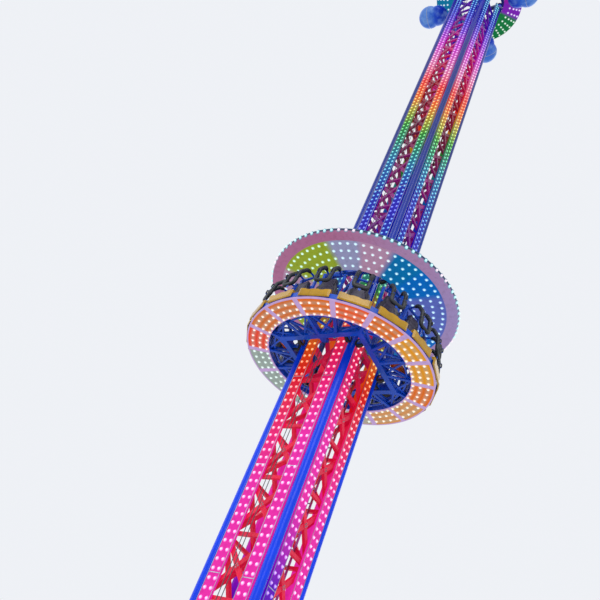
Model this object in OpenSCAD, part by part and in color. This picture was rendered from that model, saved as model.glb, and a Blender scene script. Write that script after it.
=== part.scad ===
// Drop tower ride: a square lattice tower of four round posts, and a ring of sixteen
// outward-facing seats under a round canopy that runs up and down the posts.
// Millimetres, +Z up, origin on the ground at the tower's axis. The front face is -Y.

/* [Tower] */
// Distance between the centres of neighbouring posts
post_pitch = 1100; // [1060:10:1140]
// Outside diameter of a post
post_d = 168; // [140:2:180]
// Height of the post tops above the ground
tower_h = 27300; // [27200:100:29000]
// Height of one lattice bay
bay_h = 1080; // [1000:10:1200]
// Height of the lowest lattice bar's centre
lattice_z = 1170; // [1000:10:1200]
// Width of a crossed lattice bar, seen square on
brace_w = 84; // [70:2:90]
// Width of a level lattice bar, seen square on
level_w = 64; // [50:2:80]
// Depth of a lattice bar
brace_t = 60; // [50:2:70]

/* [Light strips] */
// Width of a light strip beside a post
strip_w = 240; // [200:5:250]
// Depth of a light strip
strip_t = 44; // [30:2:50]
// Gap between a light strip and its post
strip_gap = 5; // [3:1:10]
// Height of the foot of the strips
strip_z = 760; // [700:10:1000]

/* [Base] */
// Reach of the bed plate past the centre of a post
plate_reach = 240; // [220:10:280]
// Thickness of the bed plate
plate_t = 30; // [20:2:40]
// Distance between the anchor holes around a post
anchor_pitch = 380; // [340:10:400]
// Diameter of an anchor hole
anchor_d = 33; // [22:1:40]
// Height of a tie beam between the feet of the posts
tie_h = 200; // [160:10:240]
// Width of a tie beam
tie_w = 150; // [120:10:160]
// Height of a buffer
buffer_h = 440; // [400:10:520]
// Diameter of a buffer
buffer_d = 150; // [120:5:150]

/* [Hoist] */
// Diameter of a hoist rope
rope_d = 14; // [10:1:18]
// Half the distance between the two ropes of a loop
rope_x = 40; // [36:1:46]
// Distance from the face of the light strips to the ropes
rope_clear = 60; // [50:2:70]
// Radius at which a rope runs round a sheave or drum
sheave_r = 260; // [220:5:280]
// Reach of a sheave's flange past its ropes
flange_h = 20; // [14:1:24]
// Diameter of a sheave's or drum's shaft
shaft_d = 80; // [60:2:90]

/* [Crown] */
// Height of the crown's light panels above the ground
crown_z = 26900; // [26700:20:26920]
// Outer radius of the crown
crown_r = 1540; // [1400:10:1700]
// Inner radius of the crown's light panels
crown_ring_r = 900; // [880:10:980]
// Height of the crown's deck beams
deck_h = 80; // [60:5:90]
// Radius of an outer globe under the crown's edge
globe_r = 400; // [360:10:410]
// Radius of the inner globe beside it
small_globe_r = 360; // [300:10:370]
// Distance of an outer globe's centre past the crown's edge
globe_reach = 215; // [200:5:260]
// Distance between the centres of the two globes
globe_step = 300; // [260:10:360]
// Height of the crown's light panels above the globes' centres
globe_drop = 420; // [415:5:500]
// Turn of the globes from the tower's faces
globe_turn = 6; // [0:1:12]
// Diameter of a globe's hanger
hanger_d = 50; // [40:2:60]

/* [Gondola frame] */
// Height of the gondola's underside above the ground, as it hangs at rest
gondola_z = 9530; // [5000:10:14000]
// Half the distance between opposite beams of the square frame
frame_half = 900; // [895:5:930]
// Width of a frame beam
beam_w = 120; // [100:5:125]
// Height of a frame beam
beam_h = 160; // [140:5:180]
// Width of a radial arm and of a ring beam
arm_w = 60; // [58:2:90]
// Height of a radial arm and of a ring beam
arm_h = 120; // [100:5:130]
// Height of an arm's upper and lower chord
chord_h = 34; // [24:2:40]
// Width of the crossed bars and of the hoop between the arms
stay_w = 36; // [30:2:44]
// Radius of the hoop between the arms
hoop_r = 1420; // [1400:5:1450]
// Half the distance between a face's two uprights
upright_x = 350; // [320:5:370]
// Side of an upright
upright_w = 90; // [70:5:100]
// Tread radius of a guide roller, at the bottom of its groove
roller_r = 95; // [80:1:98]
// Width of a guide roller
roller_w = 60; // [50:2:64]
// Running gap between a roller and its post
roller_gap = 0.3; // [0.2:0.1:1]
// Diameter of a roller's axle
axle_d = 30; // [24:2:36]
// Diameter of an air tank
tank_d = 220; // [180:10:260]
// Length of an air tank
tank_l = 460; // [380:10:560]

/* [Seat ring] */
// Inner radius of the lower light ring
ring_in = 1530; // [1510:5:1550]
// Outer radius of the lower light ring
ring_out = 2015; // [1980:5:2050]
// Width of a ring's edge trim
trim_w = 30; // [20:2:40]
// Width of the trim between two panels
divider_w = 110; // [80:5:130]
// Thickness of a light panel
panel_t = 30; // [20:2:40]
// Width of a seat at its back
seat_back_w = 500; // [460:10:520]
// Width of a seat at its front
seat_front_w = 640; // [600:10:660]
// Height of a seat's back above the ring beams
seat_back_h = 760; // [700:10:800]
// Thickness of a seat's pan
pan_t = 40; // [30:2:50]
// Depth of a seat's back at its side wings
back_t = 100; // [90:2:104]
// Thickness of a seat's back in the middle of its dished front
back_mid = 45; // [36:1:50]
// Thickness of the apron that a seat's pan hangs over the ring beam
apron_t = 30; // [24:2:40]

/* [Restraint] */
// Half the distance between a restraint's shoulder arms
yoke_half = 140; // [130:5:145]
// Diameter of a shoulder pad
pad_d = 84; // [70:2:88]
// Diameter of a restraint's steel tube
tube_d = 42; // [36:2:48]
// Diameter of a restraint's pivot pin
pin_d = 30; // [24:2:34]
// Height of the pivot pin above the seat's back
pivot_up = 170; // [140:10:220]
// Side of a seat strut
strut_w = 50; // [40:2:54]

/* [Canopy] */
// Height of the canopy's light panels above the gondola's underside
canopy_up = 1796; // [1700:4:1900]
// Inner radius of the canopy
canopy_in = 1050; // [1040:10:1100]
// Outer radius of the canopy's light panels
canopy_panel_r = 1880; // [1850:5:1920]
// Width of the canopy's rounded rim
rim_w = 255.7; // [220:0.1:300]
// Width of the trim between two panels of the canopy
seam_w = 16; // [10:2:60]
// Height of the canopy's rounded rim
rim_h = 110; // [90:5:130]
// Thickness of the canopy's sheet
sheet_t = 12; // [8:1:16]
// Height of the coaming round the hole in the canopy's roof
coaming_h = 90; // [60:5:120]

/* [Hidden] */
$fn = 48;
// A gap between two pieces that seat on each other, and the radial play of a pin in its hole
seat_gap = 0.3;
pin_gap = 0.08;
seats = 16;
seat_step = 360 / seats;
post_c = post_pitch / 2;
post_r = post_d / 2;
lattice_out = post_c + brace_t / 2;
face_out = lattice_out + seat_gap + strip_t;
strip_top = crown_z - 60;
bays = floor((crown_z - lattice_z - level_w) / bay_h);
function bay_z(k) = lattice_z + bay_h * k;

// Placing
module on_faces() {
    for (k = [0 : 3]) rotate([0, 0, 90 * k]) children();
}
module on_hoist_faces() {
    for (a = [0, 180]) rotate([0, 0, a]) children();
}
module ring(r_in, r_out, h) {
    difference() {
        cylinder(r = r_out, h = h, $fn = 240);
        translate([0, 0, -1]) cylinder(r = r_in, h = h + 2, $fn = 240);
    }
}
module spokes(r_in, r_out, w, h) {
    for (k = [0 : seats - 1])
        rotate([0, 0, k * seat_step]) translate([r_in, -w / 2, 0]) cube([r_out - r_in, w, h]);
}

// Square frame with an arm at each panel joint and a ring beam at the arms' ends
module square_frame(half, w, h) {
    on_faces() translate([-half - w / 2, -half - w / 2, 0]) cube([2 * half + w, w, h]);
}
module frame_arms(half, r_end, w, h) {
    for (k = [0 : seats - 1]) {
        a = k * seat_step;
        r_start = half / max(abs(cos(a)), abs(sin(a)));
        rotate([0, 0, a]) translate([r_start, -w / 2, 0]) cube([r_end - r_start, w, h]);
    }
}

// Light ring: sixteen panels held by a spider of edge trims and dividers
module light_panels(r_in, r_out, divider) {
    difference() {
        ring(r_in + trim_w + seat_gap, r_out - trim_w - seat_gap, panel_t);
        translate([0, 0, -1]) spokes(r_in, r_out, divider + 2 * seat_gap, panel_t + 2);
    }
}
module light_trim(r_in, r_out, divider) {
    ring(r_in, r_in + trim_w, panel_t);
    ring(r_out - trim_w, r_out, panel_t);
    spokes(r_in + trim_w / 2, r_out - trim_w / 2, divider, panel_t);
}

// Base
plate_half = post_c + plate_reach;
stub_out = frame_half + 120;
foot_h = tie_h + 80;
module base_frame() {
    color([0.16, 0.2, 0.5]) difference() {
        union() {
            translate([-plate_half, -plate_half, 0]) cube([2 * plate_half, 2 * plate_half, plate_t]);
            on_faces() translate([post_c, -post_c, plate_t]) foot_ribs();
            on_faces() translate([-post_c, -post_c - tie_w / 2, 0]) cube([post_pitch, tie_w, plate_t + tie_h]);
            on_faces() buffer_stub();
        }
        on_faces() translate([post_c, -post_c, plate_t]) cylinder(r = post_r + seat_gap, h = foot_h * 2);
        on_faces() translate([post_c, -post_c, 0]) anchor_holes();
    }
}
module foot_ribs() {
    rib_out = plate_reach - 20;
    for (a = [0, 90, 180, 270])
        rotate([90, 0, a]) translate([0, 0, -8])
            linear_extrude(16) polygon([[0, 0], [rib_out, 0], [rib_out, 30], [post_r + 16, foot_h], [0, foot_h]]);
}
module anchor_holes() {
    for (x = [-1, 1], y = [-1, 1])
        translate([x * anchor_pitch / 2, y * anchor_pitch / 2, -1]) cylinder(d = anchor_d, h = plate_t + 2);
}
module buffer_stub() {
    translate([-tie_w / 2, -stub_out, 0]) cube([tie_w, stub_out - post_c, plate_t + tie_h]);
    translate([-tie_w, -stub_out, 0]) cube([tie_w * 2, stub_out - post_c, plate_t]);
}
buffer_plate = 24;
module buffers() {
    color([0.1, 0.1, 0.12]) on_faces() translate([0, -frame_half, plate_t + tie_h]) {
        cell = (buffer_h - 2 * buffer_plate) / 4;
        cylinder(d = buffer_d, h = buffer_plate);
        for (k = [0 : 3]) translate([0, 0, buffer_plate + k * cell]) buffer_cell(cell);
        translate([0, 0, buffer_h - buffer_plate]) cylinder(d = buffer_d, h = buffer_plate);
    }
}
module buffer_cell(h) {
    cylinder(d1 = buffer_d * 0.66, d2 = buffer_d * 0.94, h = h / 2);
    translate([0, 0, h / 2]) cylinder(d1 = buffer_d * 0.94, d2 = buffer_d * 0.66, h = h / 2);
}

// Posts and lattice
module post(x, y) {
    color([0.05, 0.3, 0.95]) translate([x * post_c, y * post_c, plate_t]) cylinder(r = post_r, h = tower_h - plate_t);
}
// Clear width between two posts, which the bars fill
span = post_pitch - 2 * (post_r + seat_gap);
brace_len = sqrt(span * span + bay_h * bay_h) + 2 * brace_w;
brace_a = atan(bay_h / span);
module lattice(face) {
    color([0.86, 0.05, 0.2]) rotate([0, 0, 90 * face]) translate([0, -post_c + brace_t / 2, 0]) rotate([90, 0, 0])
        linear_extrude(brace_t) intersection() {
            union() {
                for (k = [0 : bays]) translate([0, bay_z(k)]) square([post_pitch, level_w], center = true);
                for (k = [0 : bays - 1], s = [-1, 1])
                    translate([0, bay_z(k) + bay_h / 2]) rotate(s * brace_a) square([brace_len, brace_w], center = true);
            }
            translate([-span / 2, bay_z(0) - level_w / 2]) square([span, bay_z(bays) - bay_z(0) + level_w]);
        }
}

// Light strips on both sides of each post
module light_strips() {
    strip_x = post_c - post_r - strip_gap;
    color([1, 0.2, 0.7]) on_faces() for (x = [-strip_x, strip_x - strip_w])
        translate([x, -face_out, strip_z]) cube([strip_w, strip_t, strip_top - strip_z]);
}

// Ladder inside the rear face
ladder_w = 360;
rung_step = 300;
rail_w = 60;
rail_t = 12;
ladder_y = post_c - brace_t / 2 - seat_gap - rail_w;
module ladder() {
    z0 = bay_z(0) - level_w / 2;
    z1 = bay_z(bays) + level_w / 2;
    color([0.62, 0.62, 0.66]) {
        for (s = [-1, 1])
            translate([s * ladder_w / 2 - rail_t / 2, ladder_y, z0]) cube([rail_t, rail_w, z1 - z0]);
        for (z = [z0 + rung_step / 2 : rung_step : z1 - 60])
            translate([-ladder_w / 2, ladder_y + 20, z]) rotate([0, 90, 0]) cylinder(d = 26, h = ladder_w, $fn = 12);
    }
}

// Hoist: on the front and the rear face a closed pair of ropes runs down the outside of
// the tower, round a drum at its foot, up the inside and over a sheave at its head
rope_out = face_out + rope_clear;
loop_y = rope_out - sheave_r;
wheel_r = sheave_r + flange_h;
wheel_w = 2 * rope_x + rope_d + 46;
drum_z = plate_t + tie_h + 15 + wheel_r;
sheave_z = tower_h + seat_gap + 60;
module half_loop() {
    rotate([90, 0, 90]) rotate_extrude(angle = 180, $fn = 96) translate([sheave_r, 0]) circle(d = rope_d, $fn = 24);
}
module hoist_ropes() {
    color([0.3, 0.3, 0.32]) on_hoist_faces() for (x = [-rope_x, rope_x]) {
        for (y = [-rope_out, -rope_out + 2 * sheave_r])
            translate([x, y, drum_z]) cylinder(d = rope_d, h = sheave_z - drum_z, $fn = 24);
        translate([x, -loop_y, sheave_z]) half_loop();
        translate([x, -loop_y, drum_z]) mirror([0, 0, 1]) half_loop();
    }
}
module rope_wheel() {
    groove = rope_d / 2 + seat_gap;
    rotate([0, 90, 0]) rotate_extrude($fn = 96) difference() {
        translate([0, -wheel_w / 2]) square([wheel_r, wheel_w]);
        for (s = [-rope_x, rope_x]) {
            translate([sheave_r, s]) circle(r = groove, $fn = 24);
            translate([sheave_r, s - groove]) square([flange_h + 1, groove * 2]);
        }
    }
}
shaft_half = wheel_w / 2 + 96;
module wheel_on_shaft() {
    rope_wheel();
    rotate([0, 90, 0]) cylinder(d = shaft_d, h = 2 * shaft_half, center = true);
}
module winch_drums() {
    color([0.35, 0.36, 0.4]) on_hoist_faces() translate([0, -loop_y, drum_z]) wheel_on_shaft();
}
cheek_t = 30;
cheek_half = 45;
motor_r = 130;
motor_out = post_c - post_r - 40;
module winch_housings() {
    x0 = wheel_w / 2 + 12;
    color([0.2, 0.24, 0.3]) on_hoist_faces() translate([0, -loop_y, 0]) difference() {
        union() {
            for (x = [-x0 - cheek_t, x0]) {
                translate([x, -cheek_half, plate_t]) cube([cheek_t, 2 * cheek_half, drum_z - plate_t]);
                translate([x, 0, drum_z]) rotate([0, 90, 0]) cylinder(r = shaft_d / 2 + 30, h = cheek_t);
                translate([x, -cheek_half, plate_t]) cube([cheek_t, 3.4 * cheek_half, 24]);
            }
            translate([x0 + cheek_t, 0, drum_z]) rotate([0, 90, 0])
                cylinder(r = motor_r, h = motor_out - x0 - cheek_t);
        }
        translate([0, 0, drum_z]) rotate([0, 90, 0])
            cylinder(r = shaft_d / 2 + seat_gap, h = 2 * shaft_half + 2, center = true);
    }
}

// Head frame: two beams on stubs over the posts carry the sheaves
module head_frame() {
    x0 = wheel_w / 2 + 15;
    w = 60;
    h = 120;
    reach = post_c + post_r + 30;
    color([0.16, 0.2, 0.5]) translate([0, 0, tower_h + seat_gap]) difference() {
        union() {
            for (x = [-x0 - w, x0]) translate([x, -reach, 0]) cube([w, 2 * reach, h]);
            for (x = [-reach, x0], y = [-post_c, post_c])
                translate([x, y - w, 0]) cube([reach - x0, 2 * w, h]);
            for (x = [-post_c, post_c], y = [-post_c, post_c]) translate([x, y, 0]) cylinder(r = post_r + 30, h = 24);
        }
        for (y = [-loop_y, loop_y]) translate([0, y, sheave_z - tower_h - seat_gap]) rotate([0, 90, 0])
            cylinder(r = shaft_d / 2 + seat_gap, h = 4 * post_c, center = true);
    }
}
module head_sheaves() {
    color([0.35, 0.36, 0.4]) on_hoist_faces() translate([0, -loop_y, sheave_z]) wheel_on_shaft();
}

// Crown
deck_z = crown_z + panel_t + seat_gap;
deck_w = 100;
deck_half = rope_out + rope_d / 2 + 50 + deck_w / 2;
crown_divider = 60;
module crown_deck() {
    color([0.1, 0.16, 0.6]) translate([0, 0, deck_z]) difference() {
        union() {
            square_frame(deck_half, deck_w, deck_h);
            frame_arms(deck_half, crown_r - 30, 60, deck_h);
            ring(crown_r - 60, crown_r, deck_h);
            on_faces() translate([post_c, -post_c, 0]) {
                cylinder(r = post_r + 40, h = deck_h);
                translate([-30, post_c - deck_half, 0]) cube([60, deck_half - post_c, deck_h]);
                translate([0, -30, 0]) cube([deck_half - post_c, 60, deck_h]);
            }
        }
        on_faces() translate([post_c, -post_c, -1]) cylinder(r = post_r + seat_gap, h = deck_h + 2);
    }
}
module crown_panels() {
    color([0.9, 0.15, 0.9]) translate([0, 0, crown_z]) light_panels(crown_ring_r, crown_r, crown_divider);
}
module crown_trim() {
    color([0.75, 0.3, 0.8]) translate([0, 0, crown_z]) light_trim(crown_ring_r, crown_r, crown_divider);
}
// A pair of globes hangs under the crown's edge at each face
globe_out = crown_r + globe_reach;
hanger_out = crown_r + seat_gap + hanger_d / 2;
module globe_profile() {
    intersection() {
        union() {
            translate([0, globe_out]) circle(r = globe_r);
            translate([0, globe_out - globe_step]) circle(r = small_globe_r);
        }
        square([globe_r, globe_out + globe_r]);
    }
}
module globe_pair() {
    hanger_h = deck_z + deck_h - (crown_z - globe_drop);
    rotate([0, 90, 0]) rotate_extrude($fn = 96) globe_profile();
    translate([hanger_out, 0, 0]) cylinder(d = hanger_d, h = hanger_h);
    translate([crown_r + seat_gap, -hanger_d, hanger_h - deck_h]) cube([hanger_d / 2, 2 * hanger_d, deck_h]);
}
module crown_globes() {
    color([0.1, 0.25, 1]) translate([0, 0, crown_z - globe_drop]) on_faces() rotate([0, 0, globe_turn]) globe_pair();
}

// Gondola frame
beam_z = gondola_z + panel_t + seat_gap;
canopy_z = gondola_z + canopy_up;
rim_in = canopy_panel_r + seat_gap;
canopy_r = rim_in + rim_w;
canopy_beam_z = canopy_z + panel_t + seat_gap;
canopy_arm_h = rim_h - panel_t - seat_gap;
roller_y = post_c + post_r + roller_gap + roller_r;
bracket_t = 12;
bracket_h = 90;
bracket_x = roller_w / 2 + 5;
module roller_brackets() {
    on_faces() for (x = [-post_c, post_c], s = [-1, 1])
        translate([x + s * (bracket_x + bracket_t / 2) - bracket_t / 2, -frame_half, (beam_h - bracket_h) / 2])
            cube([bracket_t, frame_half - roller_y + axle_d, bracket_h]);
}
module axle_bores() {
    on_faces() translate([0, -roller_y, beam_h / 2]) rotate([0, 90, 0])
        cylinder(r = axle_d / 2 + seat_gap, h = 2 * (post_c + bracket_x + bracket_t + 1), center = true);
}
module rope_grip() {
    reach = rope_out - rope_d / 2 - 20;
    difference() {
        translate([-rope_x - rope_d / 2 - 24, -frame_half, beam_h / 2 - 40])
            cube([2 * (rope_x + rope_d / 2 + 24), frame_half - reach, 80]);
        for (x = [-rope_x, rope_x])
            translate([x, -rope_out, 0]) cylinder(r = rope_d / 2 + 6, h = beam_h, $fn = 24);
    }
}
// Openings that leave an upper and a lower chord on each arm, and crossed bars and a hoop
// between the arms
function arm_start(a) = frame_half / max(abs(cos(a)), abs(sin(a)));
module arm_windows() {
    for (k = [0 : seats - 1]) {
        a = k * seat_step;
        r = arm_start(a) + beam_w;
        rotate([0, 0, a]) translate([r, -arm_w, chord_h]) cube([ring_in - r, 2 * arm_w, arm_h - 2 * chord_h]);
    }
}
module plan_bar(a, b) {
    run = b - a;
    translate(a) rotate(atan2(run[1], run[0])) translate([0, -stay_w / 2]) square([norm(run), stay_w]);
}
function polar(r, a) = [r * cos(a), r * sin(a)];
module crossed_bars() {
    r_end = ring_in + arm_w / 2;
    linear_extrude(stay_w) for (k = [0 : seats - 1]) {
        a = k * seat_step;
        b = a + seat_step;
        plan_bar(polar(arm_start(a), a), polar(r_end, b));
        plan_bar(polar(arm_start(b), b), polar(r_end, a));
    }
}
module gondola_frame() {
    color([0.1, 0.25, 0.85]) translate([0, 0, beam_z]) difference() {
        union() {
            translate([0, 0, (arm_h - stay_w) / 2]) crossed_bars();
            translate([0, 0, arm_h / 2 - 10]) ring(hoop_r - stay_w / 2, hoop_r + stay_w / 2, 20);
            difference() {
                frame_arms(frame_half, ring_out - arm_w / 2, arm_w, arm_h);
                arm_windows();
            }
            square_frame(frame_half, beam_w, beam_h);
            ring(ring_in, ring_in + arm_w, arm_h);
            ring(ring_out - arm_w, ring_out, arm_h);
            roller_brackets();
            on_hoist_faces() rope_grip();
        }
        axle_bores();
    }
}
module canopy_frame() {
    color([0.1, 0.25, 0.85]) translate([0, 0, canopy_beam_z]) difference() {
        union() {
            square_frame(frame_half, beam_w, beam_h);
            frame_arms(frame_half, canopy_panel_r - arm_w / 2, arm_w, canopy_arm_h);
            ring(canopy_panel_r - arm_w, canopy_panel_r, canopy_arm_h);
            roller_brackets();
        }
        axle_bores();
    }
}
// Two uprights a face with crossed stays between them
upright_z = beam_z + beam_h + seat_gap;
upright_h = canopy_beam_z - seat_gap - upright_z;
upright_stay_w = 50;
module gondola_uprights() {
    stay_h = upright_h - 2 * upright_stay_w;
    stay_a = atan(stay_h / (2 * upright_x));
    stay_l = sqrt(stay_h * stay_h + 4 * upright_x * upright_x);
    color([0.1, 0.3, 0.95]) translate([0, 0, upright_z]) on_faces() translate([0, -frame_half, 0]) {
        for (x = [-upright_x, upright_x])
            translate([x - upright_w / 2, -upright_w / 2, 0]) cube([upright_w, upright_w, upright_h]);
        for (s = [-1, 1]) translate([0, 0, upright_h / 2]) rotate([0, s * stay_a, 0])
            cube([stay_l, upright_stay_w, upright_stay_w], center = true);
    }
}
module roller() {
    groove_r = post_r + roller_gap;
    rotate([0, 90, 0]) {
        rotate_extrude() difference() {
            translate([0, -roller_w / 2]) square([roller_r + 8, roller_w]);
            translate([roller_r + groove_r, 0]) circle(r = groove_r);
        }
        cylinder(d = axle_d, h = 2 * (bracket_x + bracket_t + 3), center = true);
    }
}
module guide_rollers() {
    color([0.15, 0.15, 0.17]) for (z = [beam_z, canopy_beam_z]) on_faces() for (x = [-post_c, post_c])
        translate([x, -roller_y, z + beam_h / 2]) roller();
}
tank_x = frame_half + beam_w / 2 + tank_d / 2 + 40;
module air_tanks() {
    y = tank_x * tan(seat_step);
    rest = 20;
    color([1, 0.45, 0.1]) translate([0, 0, beam_z + arm_h + seat_gap]) for (a = [0, 180]) rotate([0, 0, a]) {
        translate([tank_x, y, rest + tank_d / 2]) rotate([90, 0, 0]) {
            cylinder(d = tank_d, h = tank_l - tank_d / 2, center = true);
            for (s = [-1, 1]) translate([0, 0, s * (tank_l - tank_d / 2) / 2]) scale([1, 1, 0.5]) sphere(d = tank_d);
        }
        translate([tank_x - tank_d / 3, y - 20, 0]) cube([tank_d * 2 / 3, 40, rest + tank_d / 3]);
    }
}

// Seat ring
module ring_panels() {
    color([1, 0.5, 0.15]) translate([0, 0, gondola_z]) light_panels(ring_in, ring_out, divider_w);
}
module ring_trim() {
    color([1, 0.75, 0.85]) translate([0, 0, gondola_z]) light_trim(ring_in, ring_out, divider_w);
}
seat_z = beam_z + arm_h + seat_gap;
strut_x = ring_in + 5 + strut_w / 2;
strut_y = yoke_half + pad_d / 2 + 10 + strut_w / 2;
seat_x = strut_x + strut_w / 2 + seat_gap;
apron_in = ring_out + seat_gap;
seat_front = apron_in + apron_t;
thigh_r = 160;
thigh_y = 130;
dish_r = 420;
pivot_z = seat_back_h + pivot_up;
module at_seat(k) {
    rotate([0, 0, seat_step * (k + 0.5)]) translate([0, 0, seat_z]) children();
}
module at_seats() {
    for (k = [0 : seats - 1]) at_seat(k) children();
}
module side_profile(w) {
    rotate([90, 0, 0]) translate([0, 0, -w / 2]) linear_extrude(w) children();
}
module seat_pan() {
    foot = 12 - arm_h;
    difference() {
        intersection() {
            side_profile(seat_front_w + 10) polygon([
                [seat_x, 0], [apron_in, 0], [apron_in, foot], [seat_front - 10, foot], [seat_front, foot + 24],
                [seat_front, pan_t + 22], [seat_front - 24, pan_t + 36], [seat_front - 110, pan_t + 26],
                [seat_x + back_t + 80, pan_t], [seat_x, pan_t]
            ]);
            translate([0, 0, foot - 1]) linear_extrude(arm_h + pan_t * 3) polygon([
                [seat_x, -seat_back_w / 2], [seat_front - 30, -seat_front_w / 2], [seat_front, -seat_front_w / 2 + 40],
                [seat_front, seat_front_w / 2 - 40], [seat_front - 30, seat_front_w / 2], [seat_x, seat_back_w / 2]
            ]);
        }
        for (s = [-1, 1]) translate([seat_x + back_t, s * thigh_y, pan_t + 4 + thigh_r]) rotate([0, 90, 0])
            cylinder(r = thigh_r, h = seat_front - seat_x, $fn = 96);
    }
}
module seat_pans() {
    color([0.95, 0.85, 0.1]) at_seats() seat_pan();
}
module seat_back() {
    z0 = pan_t + seat_gap;
    h = seat_back_h;
    half = seat_back_w / 2;
    difference() {
        intersection() {
            side_profile(seat_back_w + 10) polygon([
                [seat_x, z0], [seat_x + back_t, z0], [seat_x + back_t * 0.98, 160], [seat_x + back_t * 0.85, h * 0.5],
                [seat_x + back_t * 0.92, h * 0.8], [seat_x + back_t * 0.8, h - 12], [seat_x + back_t * 0.6, h], [seat_x, h]
            ]);
            rotate([90, 0, 90]) linear_extrude(seat_x + 2 * back_t) polygon([
                [-half, z0], [half, z0], [half, h * 0.35], [half - 30, h * 0.62], [half - 90, h * 0.74],
                [half - 110, h - 40], [half - 150, h], [150 - half, h], [110 - half, h - 40],
                [90 - half, h * 0.74], [30 - half, h * 0.62], [-half, h * 0.35]
            ]);
        }
        translate([seat_x + back_mid + dish_r, 0, z0 - 1]) cylinder(r = dish_r, h = h + 2, $fn = 240);
    }
}
module seat_backs() {
    color([0.14, 0.1, 0.2]) at_seats() seat_back();
}
// Two struts a seat with two ties between them; their heads hold the pivot pin
lug_r = pin_d / 2 + 20;
module seat_strut() {
    difference() {
        union() {
            for (s = [-1, 1]) translate([strut_x, s * strut_y, 0]) {
                translate([-strut_w / 2, -strut_w / 2, 0]) cube([strut_w, strut_w, pivot_z]);
                translate([0, strut_w / 2, pivot_z]) rotate([90, 0, 0]) cylinder(r = lug_r, h = strut_w);
            }
            for (z = [160, seat_back_h - 160])
                translate([strut_x - strut_w / 2, -strut_y, z]) cube([strut_w, 2 * strut_y, strut_w]);
        }
        translate([strut_x, 0, pivot_z]) rotate([90, 0, 0])
            cylinder(r = pin_d / 2 + pin_gap, h = 2 * strut_y + 2 * strut_w, center = true);
    }
}
module seat_struts() {
    color([0.1, 0.25, 0.85]) at_seats() seat_strut();
}
pin_half = strut_y + strut_w / 2 + seat_gap;
module restraint_pins() {
    color([0.6, 0.62, 0.66]) at_seats() translate([strut_x, 0, pivot_z]) rotate([90, 0, 0]) {
        cylinder(d = pin_d, h = 2 * pin_half + 16, center = true);
        for (s = [-1, 1]) translate([0, 0, s * (pin_half + 4)]) cylinder(d = pin_d + 12, h = 8, center = true);
    }
}

// Restraint: two arms from a hub on the pin reach over the shoulders and down to a lap bar
arm_path = [[0, 0], [215, -8], [372, -215], [412, -560]];
hub_r = pin_d / 2 + 16;
hub_half = yoke_half + tube_d / 2 + 8;
module rod(a, b, d) {
    run = b - a;
    translate([a[0], 0, a[1]]) rotate([0, atan2(run[0], run[1]), 0]) cylinder(d = d, h = norm(run));
}
module yoke_arm() {
    rod(arm_path[0], arm_path[1], tube_d);
    rod(arm_path[1], arm_path[2], pad_d);
    rod(arm_path[2], arm_path[3], pad_d);
    for (p = [arm_path[1], arm_path[2], arm_path[3]]) translate([p[0], 0, p[1]]) sphere(d = pad_d + 6);
}
module yoke() {
    lap = arm_path[3];
    difference() {
        union() {
            for (s = [-1, 1]) translate([0, s * yoke_half, 0]) yoke_arm();
            translate([lap[0], yoke_half, lap[1]]) rotate([90, 0, 0]) cylinder(d = pad_d * 0.8, h = 2 * yoke_half);
            rotate([90, 0, 0]) cylinder(r = hub_r, h = 2 * hub_half, center = true);
        }
        rotate([90, 0, 0]) cylinder(r = pin_d / 2 + pin_gap, h = 2 * hub_half + 2, center = true);
    }
}
module restraint(k) {
    color([0.12, 0.14, 0.2]) at_seat(k) translate([strut_x, 0, pivot_z]) yoke();
}

// Canopy
module canopy_panels() {
    color([0.45, 0.95, 0.35]) translate([0, 0, canopy_z]) light_panels(canopy_in, canopy_panel_r, seam_w);
}
module canopy_trim() {
    color([1, 0.7, 0.9]) translate([0, 0, canopy_z]) light_trim(canopy_in, canopy_panel_r, seam_w);
}
module rim_profile(inset) {
    bend = rim_h / 2;
    translate([rim_in + inset, inset]) square([rim_w - bend - inset, rim_h - 2 * inset]);
    translate([canopy_r - bend, bend]) circle(r = bend - inset);
}
module canopy_rim() {
    color([1, 0.45, 0.75]) translate([0, 0, canopy_z]) rotate_extrude($fn = 96) difference() {
        rim_profile(0);
        rim_profile(sheet_t);
    }
}
roof_in = (frame_half + beam_w / 2) * sqrt(2) + 12;
module canopy_roof() {
    color([0.85, 0.5, 0.8]) translate([0, 0, canopy_z + rim_h + seat_gap]) {
        ring(roof_in, canopy_r - rim_h / 2, sheet_t);
        ring(roof_in, roof_in + sheet_t, coaming_h);
    }
}

base_frame();
buffers();
post(-1, -1);  // post_front_left
post(1, -1);  // post_front_right
post(1, 1);  // post_rear_right
post(-1, 1);  // post_rear_left
lattice(0);  // lattice_front
lattice(1);  // lattice_right
lattice(2);  // lattice_rear
lattice(3);  // lattice_left
light_strips();
ladder();
winch_housings();
winch_drums();
hoist_ropes();
head_frame();
head_sheaves();
crown_deck();
crown_panels();
crown_trim();
crown_globes();
gondola_frame();
canopy_frame();
gondola_uprights();
guide_rollers();
ring_panels();
ring_trim();
seat_pans();
seat_backs();
seat_struts();
restraint_pins();
canopy_panels();
canopy_trim();
canopy_rim();
canopy_roof();
air_tanks();
restraint(0);  // restraint_01
restraint(1);  // restraint_02
restraint(2);  // restraint_03
restraint(3);  // restraint_04
restraint(4);  // restraint_05
restraint(5);  // restraint_06
restraint(6);  // restraint_07
restraint(7);  // restraint_08
restraint(8);  // restraint_09
restraint(9);  // restraint_10
restraint(10);  // restraint_11
restraint(11);  // restraint_12
restraint(12);  // restraint_13
restraint(13);  // restraint_14
restraint(14);  // restraint_15
restraint(15);  // restraint_16
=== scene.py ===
"""Looks of the drop tower ride: materials, lamps, restraints, upholstery, fittings, light and camera."""
import math

import bpy
import numpy as np
from mathutils import Matrix, Vector


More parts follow.
